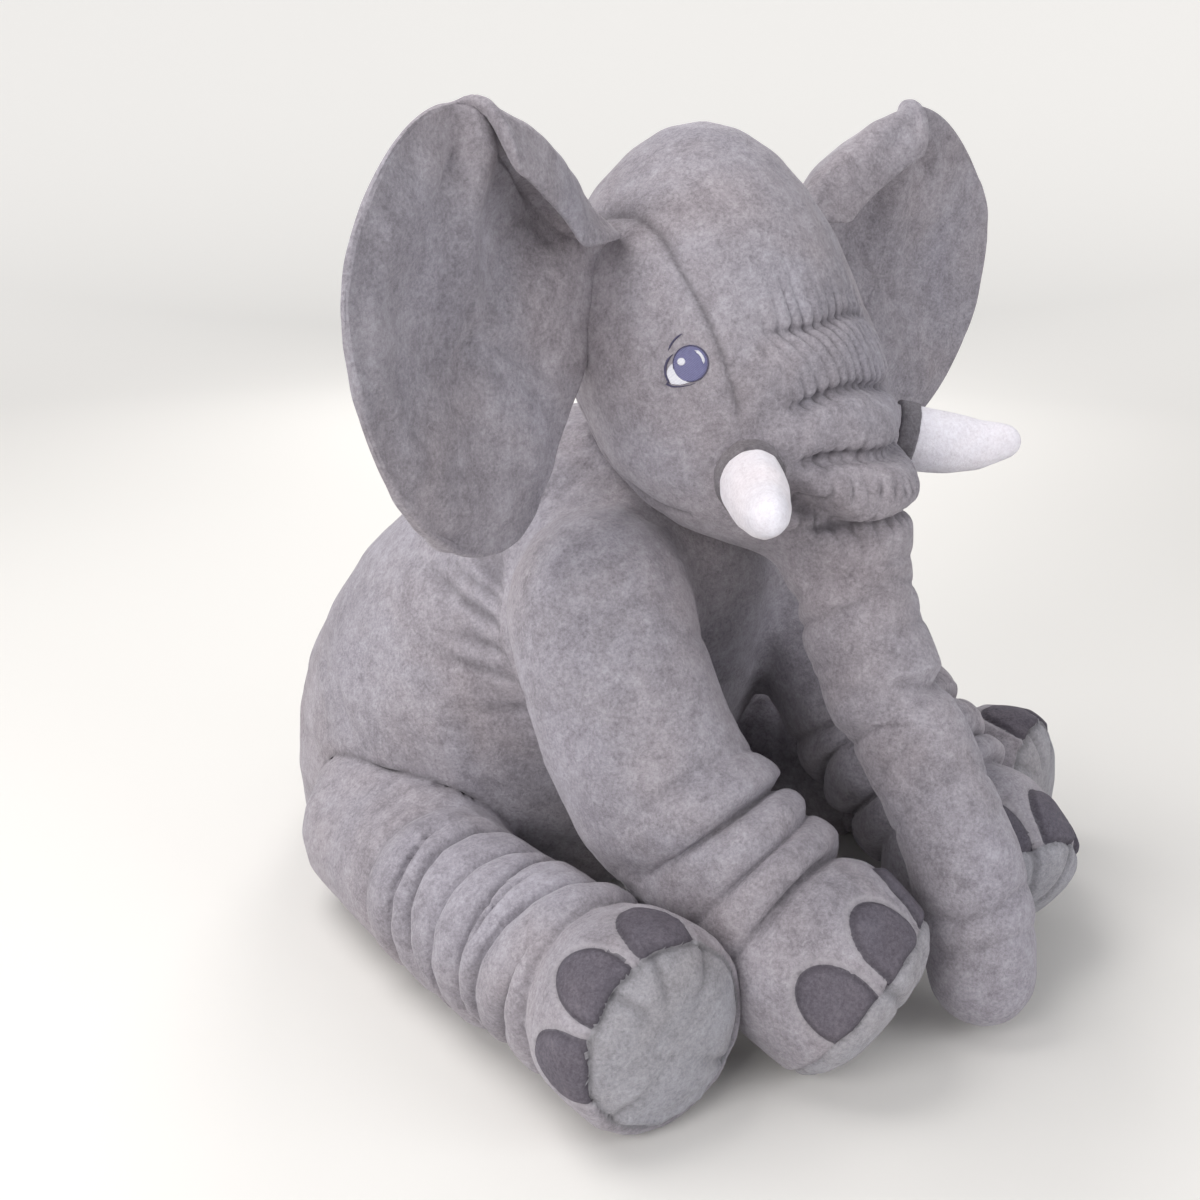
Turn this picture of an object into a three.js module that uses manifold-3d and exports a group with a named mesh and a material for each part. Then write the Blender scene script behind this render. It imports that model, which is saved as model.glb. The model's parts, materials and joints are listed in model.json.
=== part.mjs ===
// A seated stuffed elephant, built the way a plush toy is sewn: fabric covers with openings where the
// limbs are joined, fibre filling inside each cover, and small sewn-on pieces for soles, nails, tusks and eyes.
// Millimetres, +Z up. The elephant faces -Y, its right side is -X, and the origin is the middle of its flat seat.
import * as THREE from "three";
import { mergeVertices } from "three/addons/utils/BufferGeometryUtils.js";
import Module from "manifold-3d";

const wasm = await Module();
wasm.setup();

// ---- Driving dimensions ----
const CLOTH = 3; // plush cover, backing and pile together
const FILL_GAP = 1; // between a cover and the filling inside it
const SEAM_GAP = 0.4; // between two panels that are sewn edge to edge
const JOINT_GAP = 6; // room for a limb to bend where it is sewn on
const PATCH = 1.4; // thickness of a sewn-on nail
const AROUND = 16; // facets round a limb
const AROUND_BIG = 20; // facets round the head and the torso
const FAR = 900; // larger than the whole toy, for cutting boxes

// Horizontal sections, bottom to top: height, centre y, half width in x, half depth in y.
const TORSO = [
  [0, 0, 122, 140],
  [10, 0, 139, 157],
  [30, -4, 152, 169],
  [70, -14, 162, 179],
  [120, -34, 170, 186],
  [170, -54, 171, 187],
  [215, -74, 165, 180],
  [262, -97, 152, 167],
  [310, -121, 123, 136],
  [350, -142, 90, 100],
  [382, -158, 54, 62],
  [396, -164, 0, 0],
];
const HEAD = [
  [314, -290, 0, 0],
  [318, -289, 40, 38],
  [328, -286, 66, 63],
  [346, -280, 87, 84],
  [370, -270, 103, 98],
  [400, -257, 110, 104],
  [432, -244, 113, 108],
  [462, -233, 110, 105],
  [492, -224, 103, 98],
  [520, -221, 90, 86],
  [546, -220, 72, 69],
  [568, -220, 50, 48],
  [583, -219, 26, 25],
  [588, -219, 0, 0],
];

// Limbs of the right side (-X): centre line, then [share of length, radius], then how deep each end cap is.
const FRONT_LEG = {
  spine: [
    [-108, -188, 322], [-114, -222, 288], [-125, -260, 220], [-121, -292, 163],
    [-113, -333, 128], [-107, -375, 95], [-102, -418, 65], [-91, -450, 40],
  ],
  radius: [[0, 54], [0.2, 62], [0.45, 63], [0.62, 59], [0.74, 58], [0.88, 66], [1, 59]],
  caps: [54, 16],
  rings: 7,
};
const HIND_LEG = {
  spine: [
    [-138, 28, 64], [-152, -22, 62], [-176, -100, 60], [-191, -170, 59],
    [-205, -250, 60], [-218, -306, 64], [-229, -360, 67], [-236, -396, 67],
  ],
  radius: [[0, 54], [0.15, 58], [0.45, 58], [0.7, 57], [0.8, 57], [0.91, 66], [1, 60]],
  caps: [54, 14],
  rings: 7,
};
const TRUNK = {
  spine: [
    [0, -351, 387], [0, -352, 345], [0, -356, 290], [0, -384, 228],
    [0, -424, 172], [0, -455, 116], [0, -470, 62], [0, -474, 8],
  ],
  radius: [[0, 41], [0.3, 41], [0.55, 37], [0.8, 38], [1, 34]],
  caps: [41, 32],
  rings: 8,
};
const TUSK = {
  spine: [[-85, -327, 380], [-106, -350, 374], [-128, -372, 371], [-150, -393, 375]],
  radius: [[0, 21], [0.35, 22], [0.7, 17], [1, 10]],
  caps: [2, 8],
  rings: 4,
};
const TAIL = {
  spine: [[0, 157, 113], [0, 178, 102], [0, 190, 64], [0, 193, 30]],
  radius: [[0, 9], [0.6, 7], [1, 6]],
  caps: [5, 3],
  rings: 3,
};
const TUFT = {
  spine: [[0, 194, 30], [0, 196, 18], [0, 199, 6]],
  radius: [[0, 12], [0.5, 15], [1, 9]],
  caps: [4, 4],
  rings: 2,
};

// The ear's outline as x and z, from the top of its root over the tip and round to the bottom of its root.
const EAR_OUTLINE = [
  [109, 516], [134, 550], [174, 578], [214, 597], [252, 601], [284, 590], [313, 564], [334, 534], [343, 506],
  [341, 474], [333, 442], [317, 408], [293, 376], [262, 352], [222, 338], [186, 344], [160, 372], [138, 412], [120, 452],
];
const EAR_CENTRE = [228, 470];
const EAR_ROOT_Y = -210; // the ear leans forward from its root to its rim
const EAR_RIM_Y = -244;
const EAR_FILL = 7; // half thickness of the wadding at its middle
const EAR_POINTS = 24;

const SIDE_SEAM = 83; // from the middle of the face out to the seam of a side panel
const EYE = { x: -97, y: -290, z: 447, radius: 13, depth: 2 };
// Nails sit on the upper front of a foot; spread is the angle between neighbours, turn is how far outward they face.
const NAIL = { width: 44, length: 48, spread: 48, turn: { front: 10, hind: 45 } };

// Where each part hinges and how far it turns, for the right side; the left side mirrors them.
const HEAD_NOD = { at: [0, -195, 348], axis: [-1, 0, 0], range: [0, 12] };
const TRUNK_SWING = { at: [0, -352, 345], axis: [-1, 0, 0], range: [0, 45] };
const TRUNK_CURL = { at: [0, -396, 210], axis: [-1, 0, 0], range: [0, 45] };
const FRONT_LEG_LIFT = { at: [-113, -219, 290], axis: [-0.856, 0.516, 0], range: [0, 30] };
const HIND_LEG_SPLAY = { at: [-151, -24, 62], axis: [0, 0, -1], range: [0, 25] };

// ---- Materials ----
const plush = new THREE.MeshStandardMaterial({ color: 0x8b868c, roughness: 0.95, metalness: 0 });
const paleSole = new THREE.MeshStandardMaterial({ color: 0x969196, roughness: 0.95, metalness: 0 });
const darkPlush = new THREE.MeshStandardMaterial({ color: 0x5c5861, roughness: 0.95, metalness: 0 });
const whitePlush = new THREE.MeshStandardMaterial({ color: 0xe9e4ea, roughness: 0.9, metalness: 0 });
const thread = new THREE.MeshStandardMaterial({ color: 0x6b6c92, roughness: 0.6, metalness: 0 });
const fibre = new THREE.MeshStandardMaterial({ color: 0xf2f0ec, roughness: 1, metalness: 0 });
const labelCloth = new THREE.MeshStandardMaterial({ color: 0xf5f5f2, roughness: 0.7, metalness: 0 });

// ---- Solids ----
// A closed surface through rings of points; the first and last ring may be a single point.
function solidFromRings(rings) {
  const points = rings.flat();
  const starts = [];
  rings.reduce((sum, ring) => {
    starts.push(sum);
    return sum + ring.length;
  }, 0);
  const faces = [];
  for (let i = 0; i + 1 < rings.length; i++) {
    const [a, b] = [rings[i].length, rings[i + 1].length];
    const n = Math.max(a, b);
    for (let k = 0; k < n; k++) {
      const [p, q] = [starts[i] + (k % a), starts[i] + ((k + 1) % a)];
      const [r, s] = [starts[i + 1] + (k % b), starts[i + 1] + ((k + 1) % b)];
      if (a > 1) faces.push([p, q, s]);
      if (b > 1) faces.push([p, s, r]);
    }
  }
  if (rings[0].length > 1) closeRing(faces, starts[0], rings[0].length, false);
  if (rings.at(-1).length > 1) closeRing(faces, starts.at(-1), rings.at(-1).length, true);
  let volume = 0;
  for (const [a, b, c] of faces) volume += points[a].dot(points[b].clone().cross(points[c]));
  if (volume < 0) faces.forEach((f) => f.reverse());
  const geometry = new THREE.BufferGeometry();
  geometry.setAttribute("position", new THREE.Float32BufferAttribute(points.flatMap((p) => [p.x, p.y, p.z]), 3));
  geometry.setIndex(faces.flat());
  return solidFromGeometry(geometry);
}

function closeRing(faces, start, count, last) {
  for (let k = 1; k + 1 < count; k++) {
    faces.push(last ? [start, start + k, start + k + 1] : [start, start + k + 1, start + k]);
  }
}

function solidFromGeometry(geometry) {
  const plain = geometry.clone();
  plain.deleteAttribute("normal");
  plain.deleteAttribute("uv");
  const merged = mergeVertices(plain, 1e-3);
  return new wasm.Manifold(new wasm.Mesh({
    numProp: 3,
    vertProperties: merged.attributes.position.array,
    triVerts: new Uint32Array(merged.index.array),
  }));
}

// Stacked horizontal ellipses, made smaller all round by inset.
function stack(levels, inset = 0) {
  const low = levels[0][0] + inset;
  const high = levels.at(-1)[0] - inset;
  const rings = levels.map(([z, y, a, b]) => {
    const height = THREE.MathUtils.clamp(z, low, high);
    const [halfX, halfY] = [a - inset, b - inset];
    if (Math.min(halfX, halfY) <= 0) return [new THREE.Vector3(0, y, height)];
    return Array.from({ length: AROUND_BIG }, (_, k) => {
      const angle = (2 * Math.PI * (k + 0.5)) / AROUND_BIG;
      return new THREE.Vector3(halfX * Math.cos(angle), y + halfY * Math.sin(angle), height);
    });
  });
  return solidFromRings(rings);
}

function radiusAt(table, share) {
  const next = table.findIndex(([s]) => s >= share);
  if (next <= 0) return table[0][1];
  const [[s0, r0], [s1, r1]] = [table[next - 1], table[next]];
  return THREE.MathUtils.lerp(r0, r1, THREE.MathUtils.smoothstep(share, s0, s1));
}

function curveOf(limb, side) {
  // The tables are drawn for the right side, which is -X, so the left side mirrors them.
  return new THREE.CatmullRomCurve3(limb.spine.map(([x, y, z]) => new THREE.Vector3(-side * x, y, z)));
}

// Rings along a limb's centre line with a rounded cap at each end, made smaller by inset or larger by a negative one.
function limb(shape, side, inset = 0, around = AROUND) {
  const curve = curveOf(shape, side);
  const length = curve.getLength();
  const stations = [[inset, 0]];
  const capAngles = [0.42, 0.85, 1.25];
  const [capA, capB] = shape.caps.map((c) => Math.max(c - inset, 1.5));
  for (const angle of capAngles) stations.push([inset + capA * (1 - Math.cos(angle)), Math.sin(angle)]);
  const [from, to] = [inset + capA, length - inset - capB];
  for (let i = 0; i <= shape.rings; i++) stations.push([from + ((to - from) * i) / shape.rings, 1]);
  for (const angle of capAngles.toReversed()) {
    stations.push([length - inset - capB * (1 - Math.cos(angle)), Math.sin(angle)]);
  }
  stations.push([length - inset, 0]);
  const rings = stations.map(([distance, round]) => {
    const share = distance / length;
    const [centre, tangent] = pointOn(curve, share, length);
    if (!round) return [centre];
    const across = new THREE.Vector3(1, 0, 0).addScaledVector(tangent, -tangent.x).normalize();
    const over = new THREE.Vector3().crossVectors(tangent, across);
    const radius = (radiusAt(shape.radius, THREE.MathUtils.clamp(share, 0, 1)) - inset) * round;
    return Array.from({ length: around }, (_, k) => {
      const angle = (2 * Math.PI * k) / around;
      return centre.clone()
        .addScaledVector(across, radius * Math.cos(angle))
        .addScaledVector(over, radius * Math.sin(angle));
    });
  });
  return solidFromRings(rings);
}

// A point and direction on a curve, carried straight on past either end.
function pointOn(curve, share, length) {
  const inside = THREE.MathUtils.clamp(share, 0, 1);
  const tangent = curve.getTangentAt(inside);
  const point = curve.getPointAt(inside).addScaledVector(tangent, (share - inside) * length);
  return [point, tangent];
}

// Everything on the far side of a plane through point, in the direction of normal.
function halfSpace(point, normal) {
  const geometry = new THREE.BoxGeometry(FAR, FAR, FAR);
  const turn = new THREE.Quaternion().setFromUnitVectors(new THREE.Vector3(0, 0, 1), normal.clone().normalize());
  geometry.translate(0, 0, FAR / 2);
  geometry.applyQuaternion(turn);
  geometry.translate(point.x, point.y, point.z);
  return solidFromGeometry(geometry);
}

function ball(centre, radius) {
  const geometry = new THREE.SphereGeometry(radius, AROUND, 10);
  geometry.translate(...centre);
  return solidFromGeometry(geometry);
}

// ---- The object ----
const elephant = new THREE.Group();

function addPiece(name, solid, material) {
  const made = solid.getMesh();
  const geometry = new THREE.BufferGeometry();
  geometry.setAttribute("position", new THREE.BufferAttribute(new Float32Array(made.vertProperties), 3));
  geometry.setIndex(new THREE.BufferAttribute(new Uint32Array(made.triVerts), 1));
  geometry.computeVertexNormals();
  const mesh = new THREE.Mesh(geometry, material);
  mesh.name = name;
  elephant.add(mesh);
}

const sides = { R: -1, L: 1 };

// A solid turned about a hinge of the given side.
function turned(solid, hinge, side, degrees) {
  const [x, y, z] = hinge.at;
  const centre = new THREE.Vector3(-side * x, y, z);
  // A mirrored hinge turns the other way about the mirrored axis.
  const axis = new THREE.Vector3(-side * hinge.axis[0], hinge.axis[1], hinge.axis[2]).normalize();
  const angle = THREE.MathUtils.degToRad(degrees) * -side;
  const move = new THREE.Matrix4().makeTranslation(centre)
    .multiply(new THREE.Matrix4().makeRotationAxis(axis, angle))
    .multiply(new THREE.Matrix4().makeTranslation(centre.negate()));
  return solid.transform(move.toArray());
}

// A simple space that holds a solid at both ends of its range.
function spaceFor(solid, hinge, side = sides.R) {
  return wasm.Manifold.hull(hinge.range.map((degrees) => turned(solid, hinge, side, degrees)));
}

// The sewn end of a limb, up to a share of its length, larger all round by a gap.
function sewnEnd(shape, side, share, gap = JOINT_GAP) {
  const curve = curveOf(shape, side);
  const [point, along] = pointOn(curve, share, curve.getLength());
  return limb({ ...shape, rings: 4 }, side, -gap, 12).subtract(halfSpace(point, along));
}

function addTorso() {
  let room = spaceFor(stack(HEAD, -JOINT_GAP), HEAD_NOD);
  for (const side of Object.values(sides)) {
    room = room.add(spaceFor(sewnEnd(FRONT_LEG, side, 0.5), FRONT_LEG_LIFT, side));
    room = room.add(spaceFor(sewnEnd(HIND_LEG, side, 0.6), HIND_LEG_SPLAY, side));
  }
  addPiece("torso_cover", largest(stack(TORSO).subtract(stack(TORSO, CLOTH)).subtract(room)), plush);
  addPiece("torso_stuffing", filling(stack(TORSO, CLOTH + FILL_GAP).subtract(room)), fibre);
}

// The two sides of a plane, with a seam's width between them.
function splitAt(solid, point, normal) {
  const half = normal.clone().normalize().multiplyScalar(SEAM_GAP / 2);
  const behind = solid.subtract(halfSpace(point.clone().sub(half), normal));
  const ahead = solid.subtract(halfSpace(point.clone().add(half), normal.clone().negate()));
  return [behind, ahead];
}

function largest(solid) {
  return solid.decompose().reduce((best, part) => (part.volume() > best.volume() ? part : best)).simplify(0.12);
}

// Loose fibre takes a simpler shape than the cover round it.
function filling(solid) {
  return largest(solid).simplify(0.7);
}

function addHead() {
  const trunkRoom = spaceFor(sewnEnd(TRUNK, 1, 0.35, 4), TRUNK_SWING);
  const shell = stack(HEAD).subtract(stack(HEAD, CLOTH)).subtract(trunkRoom).subtract(stack(TORSO));
  // The centre panel runs from the nape over the crown to the trunk, between the two side panels.
  const seamPoint = (side) => new THREE.Vector3(side * SIDE_SEAM, -315, 431);
  const seamNormal = (side) => new THREE.Vector3(1, 0, side * 0.04);
  const [sideR, rest] = splitAt(shell, seamPoint(-1), seamNormal(-1));
  const [centre, sideL] = splitAt(rest, seamPoint(1), seamNormal(1));
  addPiece("head_side_R", largest(sideR), plush);
  addPiece("head_centre_panel", largest(centre), plush);
  addPiece("head_side_L", largest(sideL), plush);
  addPiece("head_stuffing", filling(stack(HEAD, CLOTH + FILL_GAP).subtract(trunkRoom)), fibre);
}

// A limb's cover with no filling in it yet.
function tube(shape, side, around) {
  return limb(shape, side, 0, around).subtract(limb(shape, side, CLOTH, around));
}

function addLeg(kind, shape, label) {
  const side = sides[label];
  const curve = curveOf(shape, side);
  const length = curve.getLength();
  // The cover is open where it is sewn into the torso.
  const shell = tube(shape, side, AROUND).subtract(stack(TORSO));
  const [seamAt, along] = pointOn(curve, 1 - (shape.caps[1] - 4) / length, length);
  const [cover, sole] = splitAt(shell, seamAt, along);
  addPiece(`${kind}_leg_cover_${label}`, largest(cover), plush);
  addPiece(`${kind}_leg_stuffing_${label}`, limb(shape, side, CLOTH + FILL_GAP), fibre);
  addPiece(`${kind}_sole_${label}`, largest(sole), paleSole);
  addNails(kind, shape, label, seamAt, along);
}

// Three nails on top of a foot, each a patch that follows the cover and points at the sole's seam.
function addNails(kind, shape, label, seamAt, along) {
  const side = sides[label];
  const outside = limb(shape, side, -(SEAM_GAP + PATCH)).subtract(limb(shape, side, -SEAM_GAP));
  const outline = new THREE.Shape();
  const [w, l] = [NAIL.width / 2, NAIL.length];
  outline.moveTo(0, 4);
  outline.quadraticCurveTo(w * 0.75, 12, w, l * 0.52);
  outline.quadraticCurveTo(w * 0.95, l, 0, l);
  outline.quadraticCurveTo(-w * 0.95, l, -w, l * 0.52);
  outline.quadraticCurveTo(-w * 0.75, 12, 0, 4);
  const across = new THREE.Vector3(1, 0, 0).addScaledVector(along, -along.x).normalize();
  const over = new THREE.Vector3().crossVectors(along, across);
  const up = over.z > 0 ? over : over.negate();
  ["outer", "middle", "inner"].forEach((place, i) => {
    const turn = THREE.MathUtils.degToRad(NAIL.turn[kind] + (1 - i) * NAIL.spread) * side;
    const out = up.clone().multiplyScalar(Math.cos(turn)).addScaledVector(across, Math.sin(turn));
    const geometry = new THREE.ExtrudeGeometry(outline, { depth: 120, bevelEnabled: false, curveSegments: 5 });
    const back = along.clone().negate();
    const frame = new THREE.Matrix4().makeBasis(new THREE.Vector3().crossVectors(back, out), back, out);
    frame.setPosition(seamAt);
    geometry.applyMatrix4(frame);
    addPiece(`${kind}_nail_${place}_${label}`, largest(outside.intersect(solidFromGeometry(geometry))), darkPlush);
  });
}

// The trunk bends at its middle: the lower half ends in a ball that sits in a socket in the upper half.
function addTrunk() {
  const hinge = new THREE.Vector3(...TRUNK_CURL.at);
  const along = new THREE.Vector3(0, -0.58, -0.815);
  const back = along.clone().negate();
  const [, radius] = TRUNK.radius[1];
  const beyond = (inset) => halfSpace(hinge.clone().addScaledVector(back, inset), along);
  const before = (inset) => halfSpace(hinge.clone().addScaledVector(along, inset), back);
  const upperShape = (inset) => limb(TRUNK, 1, inset).subtract(beyond(inset));
  const lowerShape = (inset) => limb(TRUNK, 1, inset).subtract(before(inset))
    .add(ball(TRUNK_CURL.at, radius - 3 - inset));
  const below = sewnEnd(TRUNK, 1, 0.68, 2.5).subtract(before(-1.5));
  const socket = spaceFor(below, TRUNK_CURL).add(ball(TRUNK_CURL.at, radius - 1));
  const openTop = before(4);
  const upperCover = upperShape(0).subtract(limb(TRUNK, 1, CLOTH)).subtract(stack(HEAD)).subtract(socket);
  addPiece("trunk_upper_cover", largest(upperCover), plush);
  addPiece("trunk_upper_stuffing", filling(upperShape(CLOTH + FILL_GAP).subtract(socket)), fibre);
  addPiece("trunk_lower_cover", largest(lowerShape(0).subtract(lowerShape(CLOTH)).subtract(openTop)), plush);
  addPiece("trunk_lower_stuffing", filling(lowerShape(CLOTH + FILL_GAP)), fibre);
}

function addTusk(label) {
  const side = sides[label];
  const curve = curveOf(TUSK, side);
  const length = curve.getLength();
  const [from] = pointOn(curve, 0.04, length);
  const [to, tangent] = pointOn(curve, 0.16, length);
  const base = halfSpace(from, tangent.clone().negate());
  addPiece(`tusk_cover_${label}`, largest(tube(TUSK, side, 12).subtract(base)), whitePlush);
  addPiece(`tusk_stuffing_${label}`, limb(TUSK, side, CLOTH + FILL_GAP, 12), fibre);
  const band = limb(TUSK, side, -(FILL_GAP + 2.5), 12).subtract(limb(TUSK, side, -FILL_GAP, 12))
    .subtract(base).subtract(halfSpace(to, tangent));
  addPiece(`tusk_cuff_${label}`, largest(band), darkPlush);
}

// The ear's middle surface leans forward and its rim curls forward.
function earPoint(side, share, x, z, offset) {
  const reach = (x - EAR_OUTLINE[0][0]) / (343 - EAR_OUTLINE[0][0]);
  const lean = THREE.MathUtils.lerp(EAR_ROOT_Y, EAR_RIM_Y, reach);
  const cup = 10 * (1 - share ** 2);
  return new THREE.Vector3(side * x, lean + cup + offset, z);
}

// One sheet of the ear between two distances from its middle surface.
function earSheet(side, inner, outer, shrink = 1) {
  const outline = new THREE.CatmullRomCurve3(EAR_OUTLINE.map(([x, z]) => new THREE.Vector3(x, z, 0)), true);
  const edge = outline.getSpacedPoints(EAR_POINTS).slice(0, EAR_POINTS);
  const shares = [0.35, 0.68, 0.9, 1];
  const ring = (share, offset) => edge.map((p) => {
    const x = THREE.MathUtils.lerp(EAR_CENTRE[0], p.x, share * shrink);
    const z = THREE.MathUtils.lerp(EAR_CENTRE[1], p.y, share * shrink);
    return earPoint(side, share, x, z, offset(share));
  });
  const centre = (offset) => [earPoint(side, 0, ...EAR_CENTRE, offset(0))];
  return solidFromRings([
    centre(outer),
    ...shares.map((share) => ring(share, outer)),
    ...shares.toReversed().map((share) => ring(share, inner)),
    centre(inner),
  ]);
}

function addEar(label) {
  const side = sides[label];
  const puff = (share) => EAR_FILL * Math.sqrt(1 - share ** 2 * 0.97);
  const near = (share) => puff(share) + SEAM_GAP;
  const far = (share) => near(share) + CLOTH;
  addPiece(`ear_front_${label}`, earSheet(side, (s) => -near(s), (s) => -far(s)), plush);
  addPiece(`ear_back_${label}`, earSheet(side, near, far), plush);
  addPiece(`ear_wadding_${label}`, earSheet(side, (s) => -puff(s) * 0.9, (s) => puff(s) * 0.9, 0.97), fibre);
}

// An embroidered eye is a thin disc lying on the face.
function addEye(label) {
  const side = sides[label];
  const centre = new THREE.Vector3(side * -EYE.x, EYE.y, EYE.z);
  const prism = new THREE.CylinderGeometry(EYE.radius, EYE.radius, 80, 20);
  const out = new THREE.Vector3(side * 0.8, -0.6, 0).normalize();
  prism.applyQuaternion(new THREE.Quaternion().setFromUnitVectors(new THREE.Vector3(0, 1, 0), out));
  prism.translate(centre.x, centre.y, centre.z);
  const sheet = stack(HEAD, -(SEAM_GAP + EYE.depth)).subtract(stack(HEAD, -SEAM_GAP));
  addPiece(`eye_${label}`, largest(sheet.intersect(solidFromGeometry(prism))), thread);
}

function addTail() {
  addPiece("tail", limb(TAIL, 1, 0, 10), plush);
  addPiece("tail_tuft", limb(TUFT, 1, 0, 10).subtract(limb(TAIL, 1, -0.5, 10)), darkPlush);
}

function addLabel() {
  const geometry = new THREE.BoxGeometry(0.8, 26, 18);
  geometry.translate(0, 156, 150);
  addPiece("care_label", solidFromGeometry(geometry), labelCloth);
}

addTorso();
addHead();
addTrunk();
for (const label of Object.keys(sides)) {
  addLeg("front", FRONT_LEG, label);
  addLeg("hind", HIND_LEG, label);
  addEar(label);
  addTusk(label);
  addEye(label);
}
addTail();
addLabel();

export default elephant;
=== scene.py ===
import json
import math

import bpy
import numpy as np
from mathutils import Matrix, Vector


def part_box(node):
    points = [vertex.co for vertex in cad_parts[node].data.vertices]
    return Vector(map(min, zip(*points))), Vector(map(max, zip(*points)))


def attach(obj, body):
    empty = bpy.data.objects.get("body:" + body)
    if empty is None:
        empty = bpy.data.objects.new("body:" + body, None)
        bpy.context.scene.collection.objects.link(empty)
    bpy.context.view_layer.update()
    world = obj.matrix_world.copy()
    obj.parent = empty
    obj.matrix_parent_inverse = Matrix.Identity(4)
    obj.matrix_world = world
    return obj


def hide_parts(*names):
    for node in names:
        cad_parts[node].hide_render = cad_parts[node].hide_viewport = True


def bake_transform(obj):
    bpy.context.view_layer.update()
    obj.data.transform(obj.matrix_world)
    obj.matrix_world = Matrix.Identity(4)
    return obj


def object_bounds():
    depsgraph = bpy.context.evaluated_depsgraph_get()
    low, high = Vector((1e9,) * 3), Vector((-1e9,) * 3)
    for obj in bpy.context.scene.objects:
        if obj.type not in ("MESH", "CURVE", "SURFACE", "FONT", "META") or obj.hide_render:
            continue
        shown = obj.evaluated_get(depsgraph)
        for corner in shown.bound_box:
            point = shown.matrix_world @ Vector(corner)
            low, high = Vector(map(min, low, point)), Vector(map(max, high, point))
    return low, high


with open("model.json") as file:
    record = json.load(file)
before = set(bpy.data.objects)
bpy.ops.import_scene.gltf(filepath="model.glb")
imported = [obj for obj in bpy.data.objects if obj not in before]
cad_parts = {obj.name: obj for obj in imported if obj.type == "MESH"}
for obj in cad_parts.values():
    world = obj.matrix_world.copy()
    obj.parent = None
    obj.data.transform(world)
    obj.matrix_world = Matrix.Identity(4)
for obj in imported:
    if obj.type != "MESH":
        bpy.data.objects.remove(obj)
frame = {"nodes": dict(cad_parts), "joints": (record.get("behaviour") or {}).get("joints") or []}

import openvdb
from mathutils import Vector, noise
from mathutils.bvhtree import BVHTree

nodes = frame["nodes"]
joints = {joint["name"]: joint for joint in frame["joints"]}
cad_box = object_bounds()
scene = bpy.context.scene

FINE = 0.0025  # voxel that reads a CAD solid
SKIN_STEP = 0.0045  # voxel of the body's and legs' skin, halved by a later subdivision
HEAD_STEP = 0.004
PROUD = 0.0008  # how far the skin stands off the CAD solids
BAND = 0.048  # how far from a solid its distances are known
FLOOR_GAP = 0.0003
SIDES = {"R": -1, "L": 1}
UP = (0.0, 0.0, 1.0)

# ---------------------------------------------------------------- reading the frame


def column(items, key, width=1, kind=float):
    """One attribute of a mesh's points, faces or corners, as an array."""
    flat = np.empty(len(items) * width, kind)
    items.foreach_get(key, flat)
    return flat.reshape(-1, width) if width > 1 else flat


def points_of(name):
    return column(nodes[name].data.vertices, "co", 3, np.float32)


def triangles_of(name):
    nodes[name].data.calc_loop_triangles()
    return column(nodes[name].data.loop_triangles, "vertices", 3, np.int32)


def box_of(name):
    return [np.array(corner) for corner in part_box(name)]


def middle_of(name):
    low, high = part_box(name)
    return np.array((low + high) / 2)


def unit(v):
    v = np.asarray(v, float)
    return v / np.linalg.norm(v)


def voxels(step):
    return openvdb.createLinearTransform(voxelSize=step)


def hull(names, step=FINE):
    """The outer skin of some CAD solids together, one voxel proud of them."""
    points, triangles, count = [], [], 0
    for name in names:
        points.append(points_of(name))
        triangles.append(triangles_of(name) + count)
        count += len(points[-1])
    grid = openvdb.FloatGrid.createLevelSetFromPolygons(
        np.concatenate(points), triangles=np.concatenate(triangles).astype(np.uint32),
        transform=voxels(step), halfWidth=3.0)
    return grid.convertToQuads(step)


class Field:
    """Signed distances on a block of voxels, which can be sampled anywhere."""

    def __init__(self, values, low, step):
        self.values, self.low, self.step = values, np.array(low), step

    def at(self, points):
        place = points / self.step - self.low
        base = np.clip(np.floor(place).astype(int), 0, np.array(self.values.shape) - 2)
        part = np.clip(place - base, 0, 1)
        total = np.zeros(len(points))
        for corner in np.ndindex(2, 2, 2):
            share = np.prod(np.where(corner, part, 1 - part), axis=1)
            i, j, k = (base + corner).T
            total += share * self.values[i, j, k]
        return total

    def surface(self, rounds):
        """The skin at distance 0, evened out."""
        grid = openvdb.FloatGrid(float(self.values.max()))
        grid.copyFromArray(np.ascontiguousarray(self.values, np.float32), ijk=tuple(int(v) for v in self.low))
        grid.transform = voxels(self.step)
        points, quads = grid.convertToQuads(0.0)
        points, quads = points.astype(float), quads.astype(int)
        quads = facing_out(points, quads)
        return relax(points, quads, rounds), quads


def distances(shell, low, shape, step, off):
    """Distance field of a hull, on a shared block of voxels."""
    grid = openvdb.FloatGrid.createLevelSetFromPolygons(
        shell[0], quads=shell[1], transform=voxels(step), halfWidth=BAND / step)
    values = np.full(shape, BAND, np.float32)
    grid.copyToArray(values, ijk=tuple(int(v) for v in low))
    return values + off


def block_round(shells, step, room=0.02):
    """The lowest voxel and the size of a block that holds some hulls."""
    points = np.concatenate([shell[0] for shell in shells])
    low = np.floor((points.min(0) - room) / step).astype(int)
    high = np.ceil((points.max(0) + room) / step).astype(int)
    return low, tuple(int(v) for v in high - low)


def merged(a, b, reach):
    """Union of two fields with a soft fillet where they meet."""
    near = np.maximum(reach - np.abs(a - b), 0) / reach
    return np.minimum(a, b) - near ** 3 * reach / 6


# ---------------------------------------------------------------- meshes as arrays
# Every face has four places. A triangle holds its last point twice.


def edges_of(faces):
    edges = np.concatenate([faces[:, [k, (k + 1) % 4]] for k in range(4)])
    return edges[edges[:, 0] != edges[:, 1]]


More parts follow.
